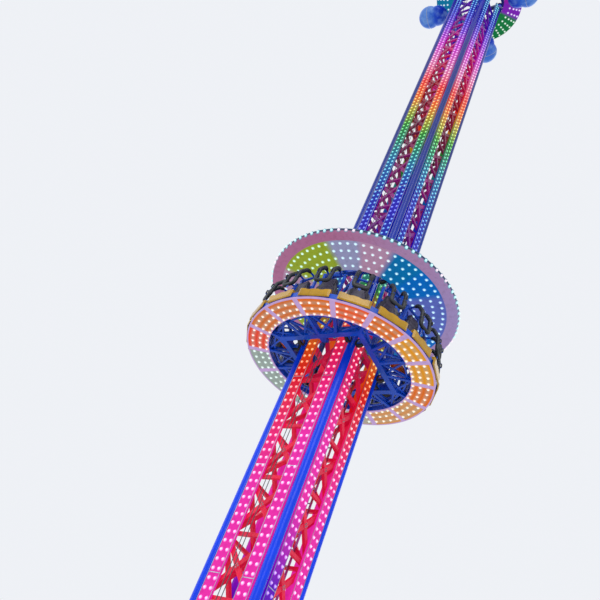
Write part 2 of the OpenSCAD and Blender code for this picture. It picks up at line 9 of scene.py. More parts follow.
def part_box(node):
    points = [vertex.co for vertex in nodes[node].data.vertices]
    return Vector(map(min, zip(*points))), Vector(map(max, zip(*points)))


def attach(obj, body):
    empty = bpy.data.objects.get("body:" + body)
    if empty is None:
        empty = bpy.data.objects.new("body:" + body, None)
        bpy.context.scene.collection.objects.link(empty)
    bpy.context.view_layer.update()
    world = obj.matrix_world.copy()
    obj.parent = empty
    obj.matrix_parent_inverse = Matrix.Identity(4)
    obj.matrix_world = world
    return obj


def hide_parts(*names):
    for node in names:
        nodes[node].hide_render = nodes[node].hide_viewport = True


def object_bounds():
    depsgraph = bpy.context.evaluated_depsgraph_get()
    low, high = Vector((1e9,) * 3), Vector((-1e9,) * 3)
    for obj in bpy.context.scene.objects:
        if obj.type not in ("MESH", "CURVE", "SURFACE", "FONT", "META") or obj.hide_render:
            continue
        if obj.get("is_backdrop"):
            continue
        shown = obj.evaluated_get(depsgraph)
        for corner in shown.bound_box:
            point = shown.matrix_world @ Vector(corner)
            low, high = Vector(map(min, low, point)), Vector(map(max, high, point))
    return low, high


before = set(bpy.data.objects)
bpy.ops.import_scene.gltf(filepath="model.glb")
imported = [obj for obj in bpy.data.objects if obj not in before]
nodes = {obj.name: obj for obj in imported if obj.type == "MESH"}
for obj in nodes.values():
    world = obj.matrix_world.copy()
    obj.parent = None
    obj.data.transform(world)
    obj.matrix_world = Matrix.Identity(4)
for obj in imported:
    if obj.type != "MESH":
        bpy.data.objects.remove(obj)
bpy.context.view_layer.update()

# Sizes shared with the solids, in metres; CLEAR is the gap between two parts
SEATS = 16
STEP = math.tau / SEATS
CLEAR = 0.0003
POST = 0.55
STRIP_IN = 0.221
STRIP_OUT = 0.461
STRIP_FACE = 0.6243
STRIP_FOOT = 0.76
RING_Z = 9.53
BEAM_Z = 9.5603
BEAM_H = 0.16
BEAM_W = 0.12
ARM_TOP = BEAM_Z + 0.12
FRAME_HALF = 0.9
RING_IN = 1.53
RING_OUT = 2.015
SEAT_Z = 9.6806
SEAT_X = 1.5853
SEAT_FRONT = 2.0456
STRUT_X = 1.56
STRUT_Y = 0.217
PIVOT_Z = SEAT_Z + 0.93
CANOPY_Z = 11.326
CANOPY_FOOT = CANOPY_Z + 0.03
CANOPY_IN = 1.05
CANOPY_PANEL = 1.88
CANOPY_OUT = 2.136
RIM_H = 0.11
ROOF_T = 0.012
ROOF_TOP = CANOPY_Z + RIM_H + CLEAR + ROOF_T
CROWN_Z = 26.9
CROWN_IN = 0.9
CROWN_OUT = 1.54
STRIP_TOP = CROWN_Z - 0.06
LATTICE_Z = 1.17
LATTICE_OUT = 0.58
BAY = 1.08
BAYS = 23
GLOBE_Z = CROWN_Z - 0.42
GLOBE_OUT = 1.755
GLOBE_R = 0.4
GLOBE_TURN = math.radians(6)
HANGER_OUT = 1.5653
DRUM_Z = 0.525
MOTOR_Y = 0.4243
MOTOR_R = 0.13
MOTOR_END = 0.426
BASE_T = 0.03
FLANGE_TOP = 27.3243
SOFT_LIFT = 0.0006
BLACK = (0, 0, 0, 1)
WHITE = (1, 1, 1, 1)


# Materials
def srgb(r, g, b):
    """A colour written as it looks, as the linear values that a shader takes."""
    return tuple(c / 12.92 if c <= 0.04045 else ((c + 0.055) / 1.055) ** 2.4 for c in (r, g, b)) + (1.0,)


def grey(level):
    return (level, level, level, 1)


def scaled(colour, by):
    return tuple(min(1.0, c * by) for c in colour[:3]) + (1.0,)


def blended(a, b, t):
    return tuple(x * (1 - t) + y * t for x, y in zip(a, b))


class Mat:
    """A node material with one Principled shader."""

    def __init__(self, name):
        self.mat = bpy.data.materials.new(name)
        self.mat.use_nodes = True
        self.tree = self.mat.node_tree
        self.tree.nodes.clear()
        self.out = self.add("ShaderNodeOutputMaterial")
        self.bsdf = self.add("ShaderNodeBsdfPrincipled")
        self.link(self.bsdf.outputs[0], self.out.inputs["Surface"])
        self.coords = self.add("ShaderNodeTexCoord").outputs["Object"]
        self.split = self.add("ShaderNodeSeparateXYZ")
        self.link(self.coords, self.split.inputs[0])

    def add(self, kind, **values):
        node = self.tree.nodes.new(kind)
        for key, value in values.items():
            setattr(node, key, value)
        return node

    def link(self, a, b):
        self.tree.links.new(a, b)

    def feed(self, value, socket):
        """Sets a socket to a number or colour, or links an output to it."""
        if isinstance(value, (int, float, tuple)):
            socket.default_value = value
        else:
            self.link(value, socket)

    def put(self, node, **values):
        """Sets a node's inputs by their names, with _ for a space."""
        for key, value in values.items():
            node.inputs[key.replace("_", " ")].default_value = value
        return node

    def set(self, **values):
        self.put(self.bsdf, **values)

    def colour(self, value):
        self.link(value, self.bsdf.inputs["Base Color"])

    def noise(self, scale, detail=4.0, rough=0.55, stretch=None):
        node = self.put(self.add("ShaderNodeTexNoise"), Scale=scale, Detail=detail, Roughness=rough)
        source = self.coords
        if stretch:
            mapping = self.put(self.add("ShaderNodeMapping"), Scale=stretch)
            self.link(source, mapping.inputs["Vector"])
            source = mapping.outputs[0]
        self.link(source, node.inputs["Vector"])
        return node.outputs["Fac"]

    def ramp(self, fac, stops, smooth=False):
        node = self.add("ShaderNodeValToRGB")
        if smooth:
            node.color_ramp.interpolation = "EASE"
        elements = node.color_ramp.elements
        while len(elements) < len(stops):
            elements.new(0.5)
        for element, (pos, colour) in zip(elements, stops):
            element.position = pos
            element.color = colour
        self.link(fac, node.inputs["Fac"])
        return node.outputs["Color"]

    def mix(self, fac, a, b, blend="MIX"):
        node = self.add("ShaderNodeMix", data_type="RGBA", blend_type=blend)
        for value, index in ((fac, 0), (a, 6), (b, 7)):
            self.feed(value, node.inputs[index])
        return node.outputs[2]

    def math(self, kind, a, b=0.0):
        node = self.add("ShaderNodeMath", operation=kind)
        self.feed(a, node.inputs[0])
        self.feed(b, node.inputs[1])
        return node.outputs[0]

    def span(self, value, low, high, to_low=0.0, to_high=1.0):
        node = self.add("ShaderNodeMapRange")
        self.put(node, From_Min=low, From_Max=high, To_Min=to_low, To_Max=to_high)
        self.link(value, node.inputs["Value"])
        return node.outputs[0]

    def height(self, low, high):
        """0 at the height low and 1 at the height high."""
        return self.span(self.split.outputs["Z"], low, high)

    def radius(self, low, high):
        """0 at the distance low from the tower's axis and 1 at the distance high."""
        x, y = self.split.outputs["X"], self.split.outputs["Y"]
        square = self.math("ADD", self.math("MULTIPLY", x, x), self.math("MULTIPLY", y, y))
        return self.span(self.math("SQRT", square), low, high)

    def azimuth(self):
        """0 to 1 once round the tower's axis, from the side away from +X."""
        turn = self.math("ARCTAN2", self.split.outputs["Y"], self.split.outputs["X"])
        return self.span(turn, -math.pi, math.pi)

    def bump(self, fac, strength, distance=0.002):
        node = self.put(self.add("ShaderNodeBump"), Strength=strength, Distance=distance)
        self.link(fac, node.inputs["Height"])
        self.link(node.outputs[0], self.bsdf.inputs["Normal"])

    def edges(self):
        """Near 1 along the sharp edges of a piece, where paint wears."""
        bevel = self.put(self.add("ShaderNodeBevel", samples=4), Radius=0.004)
        geometry = self.add("ShaderNodeNewGeometry")
        dot = self.add("ShaderNodeVectorMath", operation="DOT_PRODUCT")
        self.link(bevel.outputs[0], dot.inputs[0])
        self.link(geometry.outputs["Normal"], dot.inputs[1])
        return self.span(dot.outputs["Value"], 0.999, 0.90)


def painted(m, base, rough=0.28, dirt=0.25, coat=0.1, edge=0.0, shine=0.3):
    """Sprayed paint: faint mottling, runs of grime down the piece, worn edges and an orange-peel surface."""
    dull = grey(1 - dirt)
    broad = m.mix(m.ramp(m.noise(3.0), [(0.35, BLACK), (0.75, WHITE)], True), dull, WHITE)
    streak = m.noise(18.0, 3.0, 0.6, (1.0, 1.0, 0.08))
    grime = m.ramp(streak, [(0.56, WHITE), (0.8, dull)])
    tint = m.mix(1.0, m.mix(1.0, base, broad, "MULTIPLY"), grime, "MULTIPLY")
    if edge:
        chips = m.math("MULTIPLY", m.edges(), m.ramp(m.noise(28.0, 6.0, 0.7), [(0.46, BLACK), (0.6, WHITE)]))
        tint = m.mix(m.math("MULTIPLY", chips, edge), tint, srgb(0.62, 0.62, 0.66))
    m.colour(tint)
    m.link(m.span(m.noise(27.0), 0.0, 1.0, rough * 0.75, rough * 1.5), m.bsdf.inputs["Roughness"])
    m.set(Coat_Weight=coat, Coat_Roughness=0.12, Specular_IOR_Level=shine)
    m.bump(m.noise(260.0, 2.0), 0.06)
    return m.mat


def paint(name, colour, **values):
    return painted(Mat(name), srgb(*colour), **values)


def tall_paint(name, stops, painted_spill_glow, level=None, **values):
    """Paint in the running light's colours by height, glowing with them as painted light; level is the colour
    of patches of painted reflection on the level bars.
    """
    m = Mat(name)
    tint = m.ramp(m.height(0.0, RUN_TOP), [(z / RUN_TOP, srgb(*c)) for z, c in stops], True)
    if level:
        bay = m.math("FRACT", m.span(m.split.outputs["Z"], LATTICE_Z - BAY / 2, LATTICE_Z + BAY / 2))
        near = m.math("LESS_THAN", m.math("ABSOLUTE", m.math("SUBTRACT", bay, 0.5)), 0.034)
        # Painted reflection: patches of the level colour stand for the strips' light reflected in the level
        # bars' gloss.
        reflection_patch = m.ramp(m.noise(0.8, 1.0), [(0.38, BLACK), (0.50, WHITE)], True)
        tint = m.mix(m.math("MULTIPLY", near, reflection_patch), tint, srgb(*level))
    # Painted light: the paint glows in the running light's colours, standing for the strips' light falling on
    # it.
    m.link(tint, m.bsdf.inputs["Emission Color"])
    m.set(Emission_Strength=painted_spill_glow)
    m.mat.cycles.emission_sampling = "NONE"
    return painted(m, tint, **values)


def metal(name, colour, rough=0.32, brush=(1.0, 1.0, 40.0)):
    """Bare metal with fine brush marks and darker patches of oil."""
    m = Mat(name)
    base = srgb(*colour)
    lines = m.noise(30.0, 5.0, 0.7, brush)
    m.colour(m.mix(m.ramp(m.noise(5.0), [(0.45, BLACK), (0.75, WHITE)]), base, scaled(base, 0.55)))
    m.link(m.span(lines, 0.0, 1.0, rough * 0.7, rough * 1.5), m.bsdf.inputs["Roughness"])
    m.set(Metallic=1.0)
    m.bump(lines, 0.12, 0.001)
    return m.mat


def twisted_rope(name, colour):
    """Steel rope: strands that wind round it, with grease in the grooves."""
    m = Mat(name)
    wave = m.add("ShaderNodeTexWave", wave_type="BANDS", bands_direction="DIAGONAL")
    m.put(wave, Scale=34.0)
    m.link(m.coords, wave.inputs["Vector"])
    m.colour(m.mix(wave.outputs["Fac"], scaled(srgb(*colour), 0.25), srgb(*colour)))
    m.set(Metallic=0.85, Roughness=0.45)
    m.bump(wave.outputs["Fac"], 0.8, 0.004)
    return m.mat


def rubber(name, colour, grain=500.0, rough=0.6):
    """Rubber, vinyl or moulded plastic with a fine grain."""
    m = Mat(name)
    base = srgb(*colour)
    m.colour(m.ramp(m.noise(6.0), [(0.35, base), (0.75, blended(base, WHITE, 0.02))], True))
    m.link(m.span(m.noise(40.0), 0.0, 1.0, rough * 0.8, rough * 1.15), m.bsdf.inputs["Roughness"])
    cells = m.put(m.add("ShaderNodeTexVoronoi"), Scale=grain)
    m.link(m.coords, cells.inputs["Vector"])
    m.bump(cells.outputs["Distance"], 0.25, 0.0008)
    return m.mat


# Colours of the running light: the painted light that its lamps throw on a board, and the lamp colour
LIGHTS = {
    "magenta": ((0.97, 0.17, 0.70), (1.0, 0.86, 1.0)),
    "pink": ((0.97, 0.12, 0.50), (1.0, 0.85, 0.94)),
    "rose": ((0.95, 0.12, 0.32), (1.0, 0.86, 0.88)),
    "red": ((0.90, 0.05, 0.08), (1.0, 0.66, 0.58)),
    "orange": ((0.92, 0.36, 0.06), (1.0, 0.88, 0.55)),
    "yellow": ((0.64, 0.58, 0.08), (1.0, 1.0, 0.55)),
    "green": ((0.05, 0.50, 0.12), (0.60, 1.0, 0.55)),
    "teal": ((0.02, 0.46, 0.34), (0.52, 1.0, 0.84)),
    "cyan": ((0.02, 0.40, 0.62), (0.58, 0.98, 1.0)),
    "blue": ((0.02, 0.14, 0.66), (0.52, 0.84, 1.0)),
    "violet": ((0.12, 0.01, 0.72), (0.54, 0.58, 1.0)),
    "purple": ((0.40, 0.04, 0.78), (0.80, 0.66, 1.0)),
    "fuchsia": ((0.76, 0.05, 0.76), (1.0, 0.72, 1.0)),
    "blush": ((0.86, 0.42, 0.66), (1.0, 0.92, 0.97)),
}
# Heights in metres of those colours, on the strips that run early and on those that run late
EARLY = [
    (0.0, "magenta"), (6.4, "magenta"), (7.4, "pink"), (8.2, "rose"), (8.9, "red"), (9.7, "orange"),
    (10.8, "green"), (11.8, "blue"), (13.2, "violet"), (14.7, "blue"), (16.2, "cyan"),
    (17.1, "teal"), (17.9, "green"), (18.7, "yellow"), (19.4, "orange"), (20.3, "red"),
    (21.4, "blush"), (22.7, "fuchsia"), (23.9, "purple"), (24.8, "violet"), (25.8, "blue"),
    (26.6, "cyan"),
]
LATE = [
    (0.0, "magenta"), (7.4, "magenta"), (8.6, "pink"), (9.6, "rose"), (10.5, "orange"),
    (11.2, "green"), (12.0, "cyan"), (12.9, "blue"), (13.9, "violet"), (14.8, "blue"),
    (15.6, "cyan"), (16.4, "teal"), (17.1, "green"), (17.8, "yellow"), (18.6, "orange"),
    (19.5, "red"), (20.5, "blush"), (21.9, "fuchsia"), (23.0, "purple"), (23.9, "violet"),
    (25.0, "blue"), (26.4, "cyan"),
]
RUN_TOP = 27.0
PAINTED_GLOW = 0.66
LIT_BASE = 0.26


def clamped(value, low, high):
    """0 at low and 1 at high, level beyond them."""
    return min(1.0, max(0.0, (value - low) / (high - low)))


def run_colour(x, y, z, index):
    """The running light's colour at a point; index 0 is the painted light on the board and 1 the lamps.

    The strips beside the near and the far post run late. Those of them on the side faces start in purple.
    """
    late = x * y < 0
    rows = LATE if late else EARLY
    colour = srgb(*LIGHTS[rows[-1][1]][index])
    for low, high in zip(rows, rows[1:]):
        if z <= high[0]:
            ends = [srgb(*LIGHTS[row[1]][index]) for row in (low, high)]
            colour = blended(*ends, (z - low[0]) / (high[0] - low[0]))
            break
    if late and abs(x) > abs(y):
        colour = blended(srgb(*LIGHTS["purple"][index]), colour, clamped(z, 4.8, 6.2))
    return colour


def lit_sheet(m, tint, glow=PAINTED_GLOW, rough=0.38):
    """A glossy sheet that glows in a colour, with grime and a moulded ripple; on the light boards, the trim
    and the rim, which are no lamps, the glow and the colour are painted light from their lamps.
    """
    grime = m.ramp(m.noise(9.0, 5.0), [(0.5, WHITE), (0.85, (0.74, 0.72, 0.72, 1))])
    tint = m.mix(1.0, tint, grime, "MULTIPLY")
    m.colour(m.mix(1.0, tint, grey(LIT_BASE), "MULTIPLY"))
    # Painted light on the boards, trims and rim: the emission stands for their lamps' light falling on them;
    # the globe is lit itself.
    m.link(tint, m.bsdf.inputs["Emission Color"])
    m.set(Emission_Strength=glow, Roughness=rough, Specular_IOR_Level=0.1)
    m.bump(m.noise(120.0, 2.0), 0.08, 0.001)
    m.mat.cycles.emission_sampling = "NONE"
    return m.mat


def strip_sheet(name):
    """The strips' boards, in the colours of painted light that run_colour gives."""
    m = Mat(name)
    x, y, z = (m.split.outputs[axis] for axis in "XYZ")
    tall = m.height(0.0, RUN_TOP)
    late, early = (
        m.ramp(tall, [(height / RUN_TOP, srgb(*LIGHTS[light][0])) for height, light in rows])
        for rows in (LATE, EARLY)
    )
    is_late = m.math("LESS_THAN", m.math("MULTIPLY", x, y), 0.0)
    tint = m.mix(is_late, early, late)
    side = m.math("GREATER_THAN", m.math("ABSOLUTE", x), m.math("ABSOLUTE", y))
    foot = m.math("MULTIPLY", m.math("MULTIPLY", is_late, side), m.span(z, 4.8, 6.2, 1.0, 0.0))
    return lit_sheet(m, m.mix(foot, tint, srgb(*LIGHTS["purple"][0])))


def round_sheet(name, sectors, r_low, r_high, bands=(), glow=PAINTED_GLOW):
    """A ring of light boards: painted light, coloured by sector round the axis, times a brightness by radius.
    """
    m = Mat(name)
    count = len(sectors)
    soft = 0.12 / count
    stops = []
    for k in range(count):
        colour = srgb(*sectors[(k + count // 2) % count])
        stops += [(k / count + soft, colour), ((k + 1) / count - soft, colour)]
    tint = m.ramp(m.azimuth(), stops)
    if bands:
        shade = m.ramp(m.radius(r_low, r_high), [((r - r_low) / (r_high - r_low), c) for r, c in bands], True)
        tint = m.mix(shade, tint, m.mix(0.55, tint, srgb(*PALE)))
    return lit_sheet(m, tint, glow)


def lamp_glass(name):
    """Lit lamps: each point of the piece has its own colour, pale in the middle of a lamp."""
    m = Mat(name)
    tint = m.add("ShaderNodeAttribute", attribute_name="tint").outputs["Color"]
    m.link(tint, m.bsdf.inputs["Emission Color"])
    m.colour(m.mix(1.0, tint, grey(0.3), "MULTIPLY"))
    m.link(m.span(m.noise(90.0), 0.0, 1.0, 0.2, 0.35), m.bsdf.inputs["Roughness"])
    m.set(Emission_Strength=1.0)
    m.mat.cycles.emission_sampling = "NONE"
    return m.mat


# Colours up the tower that the running light throws on the bracing and the posts
LATTICE_STOPS = [
    (0.0, (0.86, 0.04, 0.22)), (8.5, (0.86, 0.04, 0.24)), (10.5, (0.74, 0.06, 0.30)),
    (12.6, (0.40, 0.03, 0.52)), (15.0, (0.54, 0.03, 0.44)), (17.6, (0.44, 0.08, 0.24)),
    (20.0, (0.60, 0.04, 0.16)), (21.5, (0.76, 0.02, 0.34)), (23.5, (0.68, 0.02, 0.54)),
    (25.0, (0.36, 0.03, 0.62)), (26.5, (0.14, 0.05, 0.62)),
]
POST_STOPS = [
    (0.0, (0.01, 0.26, 0.95)), (8.0, (0.01, 0.26, 0.93)), (11.0, (0.01, 0.18, 0.66)),
    (18.0, (0.01, 0.15, 0.50)), (22.0, (0.04, 0.08, 0.52)), (24.0, (0.03, 0.06, 0.62)),
    (27.0, (0.01, 0.20, 0.72)),
]
# The posts glow 0.1 and the bracing 0.38 with painted light from the strips; the bracing's level bars get
# patches of painted reflection.
post_paint = tall_paint("post_paint", POST_STOPS, 0.1, rough=0.22, dirt=0.15, coat=0.06, shine=0.22)
lattice_paint = tall_paint(
    "lattice_paint", LATTICE_STOPS, 0.38, (0.58, 0.14, 0.62), rough=0.36, dirt=0.35, edge=0.4
)
frame_blue = paint("frame_blue", (0.03, 0.34, 0.86), rough=0.3, dirt=0.3, edge=0.5)
base_paint = paint("base_paint", (0.15, 0.19, 0.48), rough=0.4, dirt=0.35, edge=0.8)
crown_paint = paint("crown_paint", (0.10, 0.14, 0.60), rough=0.35, dirt=0.3, edge=0.4)
winch_paint = paint("winch_paint", (0.22, 0.26, 0.32), rough=0.4, dirt=0.3, edge=0.8)
roof_paint = paint("roof_paint", (0.78, 0.50, 0.70), rough=0.35, dirt=0.3)
yellow_shell = paint("yellow_shell", (0.80, 0.60, 0.03), rough=0.22, dirt=0.25, coat=0.2, shine=0.35)
orange_paint = paint("orange_paint", (0.92, 0.42, 0.10), rough=0.3, dirt=0.25)
steel = metal("steel", (0.62, 0.63, 0.66))
dark_steel = metal("dark_steel", (0.32, 0.33, 0.36), rough=0.4)
alu = metal("alu", (0.70, 0.72, 0.78), rough=0.3, brush=(1.0, 1.0, 20.0))
rope_steel = twisted_rope("rope_steel", (0.46, 0.47, 0.50))
black_rubber = rubber("black_rubber", (0.09, 0.09, 0.10), 300.0, 0.7)
dark_shell = rubber("dark_shell", (0.13, 0.11, 0.20), 700.0, 0.42)
pad_vinyl = rubber("pad_vinyl", (0.08, 0.11, 0.15), 420.0, 0.5)
seat_vinyl = rubber("seat_vinyl", (0.17, 0.13, 0.26), 380.0, 0.45)
strip_board = strip_sheet("strip_board")
lamp = lamp_glass("lamp")

# Colours of the three light rings by sector, from +X round by +Y: painted light on their boards, and the tint
# of their lamps
AMBER = (0.94, 0.62, 0.08)
ORANGE = (0.93, 0.45, 0.10)
TERRA = (0.88, 0.46, 0.20)
CORAL = (0.96, 0.28, 0.18)
SALMON = (0.97, 0.38, 0.16)
SAND = (0.88, 0.60, 0.34)
BEIGE = (0.74, 0.66, 0.58)
ASH = (0.62, 0.68, 0.66)
PALE = (0.68, 0.76, 0.68)
LIME = (0.62, 0.70, 0.20)
LILAC = (0.62, 0.63, 0.78)
ROSE = (0.74, 0.58, 0.70)
SKY = (0.03, 0.44, 0.80)
TEAL = (0.03, 0.47, 0.72)
VIOLET = (0.38, 0.44, 0.78)
PLUM = (0.52, 0.14, 0.74)
MAGENTA = (0.62, 0.12, 0.66)
GREEN = (0.08, 0.50, 0.26)
CYAN = (0.08, 0.50, 0.66)
ring_sectors = [
    AMBER, ORANGE, SAND, SAND, BEIGE, BEIGE, ASH, ASH,
    ASH, CORAL, TERRA, TERRA, ORANGE, SALMON, ORANGE, AMBER,
]
canopy_sectors = [
    VIOLET, VIOLET, SKY, TEAL, LILAC, LILAC, LIME, LIME,
    ROSE, ROSE, LIME, LIME, LILAC, ROSE, TEAL, SKY,
]
crown_sectors = [
    MAGENTA, PLUM, GREEN, GREEN, CYAN, CYAN, SKY, SKY,
    CYAN, CYAN, MAGENTA, PLUM, GREEN, GREEN, PLUM, MAGENTA,
]
RING_ROWS = (1.57, 1.72, 1.88)
CANOPY_ROWS = ((1.175, 43), (1.395, 51), (1.60, 59), (1.80, 67))
CROWN_ROWS = (1.14, 1.275, 1.385, 1.49)
ring_bands = [(RING_IN, grey(0.7))]
for low_row, high_row in zip(RING_ROWS, RING_ROWS[1:]):
    ring_bands += [(low_row, grey(0.75)), ((low_row + high_row) / 2, BLACK)]
ring_bands += [(RING_ROWS[-1], grey(0.75)), (1.96, BLACK), (RING_OUT, grey(0.5))]
# The trim is paint, not a lamp: its glow of 0.5 is painted light from the ring's lamps.
ring_trim_sheet = round_sheet("ring_trim_sheet", [(0.88, 0.74, 0.96)], RING_IN, RING_OUT, glow=0.5)
ring_sheet = round_sheet("ring_sheet", ring_sectors, RING_IN, RING_OUT, ring_bands)
canopy_sheet = round_sheet("canopy_sheet", canopy_sectors, CANOPY_IN, CANOPY_PANEL)
crown_sheet = round_sheet("crown_sheet", crown_sectors, CROWN_IN, CROWN_OUT)


def rim_sheet(name):
    """The canopy's rim: mauve below, turning dark teal round the outer edge, with painted light: a paler
    lilac side and a glow.
    """
    m = Mat(name)
    # Painted light: paler and more lilac from 0.4 to 0.55 round the axis, the side facing about +X, where
    # light falls brighter on the rim.
    under = m.ramp(m.azimuth(), [
        (0.0, srgb(0.78, 0.50, 0.66)), (0.25, srgb(0.76, 0.48, 0.64)), (0.4, srgb(0.74, 0.58, 0.76)),
        (0.55, srgb(0.70, 0.62, 0.84)), (0.8, srgb(0.72, 0.52, 0.70)), (1.0, srgb(0.78, 0.50, 0.66)),
    ], True)
    edge = m.ramp(m.radius(2.0, 2.14), [(0.84, BLACK), (0.98, WHITE)], True)
    # The rim is no lamp: its glow of 0.55 is painted light from the lamps on it.
    return lit_sheet(m, m.mix(edge, under, srgb(0.10, 0.30, 0.42)), 0.55)


def globe_sheet(name):
    """A lit globe: deep blue inside, paler outside, with cloudy swirls."""
    m = Mat(name)
    base = m.ramp(m.radius(1.1, 2.15), [
        (0.0, srgb(0.05, 0.12, 0.62)), (0.3, srgb(0.10, 0.26, 0.78)), (0.5, srgb(0.22, 0.42, 0.84)),
        (0.85, srgb(0.30, 0.50, 0.86)), (1.0, srgb(0.20, 0.38, 0.80)),
    ], True)
    cloud = m.ramp(m.noise(3.0, 3.0), [(0.4, BLACK), (0.7, WHITE)], True)
    return lit_sheet(m, m.mix(m.math("MULTIPLY", cloud, 0.35), base, srgb(0.62, 0.80, 0.98)), 0.6, 0.15)


NODE_MATERIALS = {
    "base_frame": base_paint, "buffers": black_rubber, "light_strips": strip_board, "ladder": alu,
    "winch_housings": winch_paint, "winch_drums": dark_steel, "hoist_ropes": rope_steel,
    "head_frame": base_paint, "head_sheaves": dark_steel, "crown_deck": crown_paint,
    "crown_panels": crown_sheet, "crown_trim": crown_sheet, "crown_globes": globe_sheet("globe_sheet"),
    "gondola_frame": frame_blue, "canopy_frame": frame_blue, "gondola_uprights": frame_blue,
    "guide_rollers": black_rubber, "ring_panels": ring_sheet, "ring_trim": ring_trim_sheet,
    "seat_pans": yellow_shell, "seat_backs": dark_shell, "seat_struts": frame_blue,
    "restraint_pins": steel, "canopy_panels": canopy_sheet, "canopy_trim": canopy_sheet,
    "canopy_rim": rim_sheet("rim_sheet"), "canopy_roof": roof_paint, "air_tanks": orange_paint,
}
for corner in ("front_left", "front_right", "rear_right", "rear_left"):
    NODE_MATERIALS[f"post_{corner}"] = post_paint
SIDES = ("front", "right", "rear", "left")
for side in SIDES:
    NODE_MATERIALS[f"lattice_{side}"] = lattice_paint
for k in range(SEATS):
    NODE_MATERIALS[f"restraint_{k + 1:02d}"] = pad_vinyl
for name, mat in NODE_MATERIALS.items():
    nodes[name].data.materials.clear()
    nodes[name].data.materials.append(mat)


# Mesh code
def polar(r, a, z=0.0):
    return Vector((r * math.cos(a), r * math.sin(a), z))


def shifted(x, y, z):
    return Matrix.Translation((x, y, z))


def aimed(origin, out):
    """A frame at origin whose +Z points along out."""
    turn = Vector(out).to_track_quat("Z", "Y").to_matrix().to_4x4()
    return Matrix.Translation(origin) @ turn


def turned(angle):
    return Matrix.Rotation(angle, 4, "Z")


# Turns that bring the front face to each face, +X to each arm and +X to each seat, and the posts' places
FACES = [turned(face * math.pi / 2) for face in range(4)]
ARMS = [turned(k * STEP) for k in range(SEATS)]
SEAT_TURNS = [turned((k + 0.5) * STEP) for k in range(SEATS)]
CORNERS = [(x, y) for x in (-POST, POST) for y in (-POST, POST)]


def round_outline(size, sides, start=0.0):
    """Corners of an even polygon; start is the first corner's place as a share of a side."""
    angles = [math.tau * (i + start) / sides for i in range(sides)]
    return [(size * math.cos(a), size * math.sin(a)) for a in angles]


class Shape:
    """Points, faces, a material index per face and a colour per point, gathered for one piece."""

    def __init__(self):
        self.verts, self.faces, self.kinds, self.tints = [], [], [], []

    def add(self, verts, faces, kind=0, at=None, tint=WHITE):
        verts = np.asarray(verts, dtype=float)
        if at is not None:
            turn = np.array(at)
            verts = verts @ turn[:3, :3].T + turn[:3, 3]
        base = len(self.verts)
        self.verts += [tuple(v) for v in verts]
        self.faces += [tuple(base + i for i in f) for f in faces]
        self.kinds += kind if isinstance(kind, list) else [kind] * len(faces)
        self.tints += tint if isinstance(tint, list) else [tint] * len(verts)
        return self

    def piece(self, name, body, slot, mats, sharp=35.0):
        data = bpy.data.meshes.new(name)
        data.from_pydata(self.verts, [], self.faces)
        obj = bpy.data.objects.new(name, data)
        bpy.context.scene.collection.objects.link(obj)
        for mat in mats:
            data.materials.append(mat)
        data.polygons.foreach_set("material_index", self.kinds)
        if any(tint != WHITE for tint in self.tints):
            layer = data.color_attributes.new("tint", "FLOAT_COLOR", "POINT")
            layer.data.foreach_set("color", np.array(self.tints, dtype=np.float32).ravel())
        data.polygons.foreach_set("use_smooth", [True] * len(data.polygons))
        data.set_sharp_from_angle(angle=math.radians(sharp))
        data.update()
        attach(obj, body)
        return obj


def joined(count, rings, loop=False, capped=True):
    """Faces between rings of count points each, numbered one ring after the other."""
    faces = []
    last = len(rings) if loop else len(rings) - 1
    for j in range(last):
        a, b = j * count, (j + 1) % len(rings) * count
        for i in range(count):
            n = (i + 1) % count
            faces.append((a + i, a + n, b + n, b + i))
    if capped and not loop:
        faces.append(tuple(reversed(range(count))))
        faces.append(tuple(range(last * count, (last + 1) * count)))
    return faces


def revolve(profile, sides=24, loop=False):
    """A profile of (radius, height) points turned about +Z, closed at both ends or in a loop."""
    verts = [(x, y, z) for r, z in profile for x, y in round_outline(r, sides)]
    return verts, joined(sides, profile, loop)


def prism(outline, low, high, edge=0.002):
    """A flat outline in XY, thickened from low to high with a small chamfer on both edges."""
    mid = [sum(p[i] for p in outline) / len(outline) for i in (0, 1)]
    size = max(max(abs(p[i] - mid[i]) for p in outline) for i in (0, 1))
    inner = [tuple(m + (p - m) * (1 - edge / size) for p, m in zip(point, mid)) for point in outline]
    rings = [(inner, low), (outline, low + edge), (outline, high - edge), (inner, high)]
    return [(x, y, z) for ring, z in rings for x, y in ring], joined(len(outline), rings)


def block(x0, x1, y0, y1, z0, z1, edge=0.002):
    """A bar with chamfered edges."""
    return prism([(x0, y0), (x1, y0), (x1, y1), (x0, y1)], z0, z1, edge)


def sweep(path, radius, sides=12, bulges=None, loop=False):
    """A round tube along path; radius is one number or one for each point, bulges one factor a side."""
    path = [Vector(p) for p in path]
    count = len(path)
    radii = radius if isinstance(radius, list) else [radius] * count
    bulges = bulges or [1.0] * sides
    verts, across = [], None
    for j, point in enumerate(path):
        before = path[j - 1] if j or loop else path[0]
        after = path[(j + 1) % count] if j < count - 1 or loop else path[-1]
        along = (after - before).normalized()
        if across is None:
            across = along.orthogonal().normalized()
        across = (across - along * across.dot(along)).normalized()
        other = along.cross(across)
        for (x, y), bulge in zip(round_outline(1.0, sides), bulges):
            verts.append(tuple(point + (across * x + other * y) * radii[j] * bulge))
    return verts, joined(sides, path, loop)


def smooth_path(points, steps):
    """A smooth curve through points, with steps points a stretch."""
    points = [Vector(p) for p in points]
    ends = [2 * points[0] - points[1]] + points + [2 * points[-1] - points[-2]]
    path = []
    for j in range(1, len(ends) - 2):
        a, b, c, d = ends[j - 1:j + 3]
        for i in range(steps):
            t = i / steps
            path.append(0.5 * (2 * b + (c - a) * t + (2 * a - 5 * b + 4 * c - d) * t * t
                               + (3 * b - a - 3 * c + d) * t ** 3))
    return path + [points[-1]]


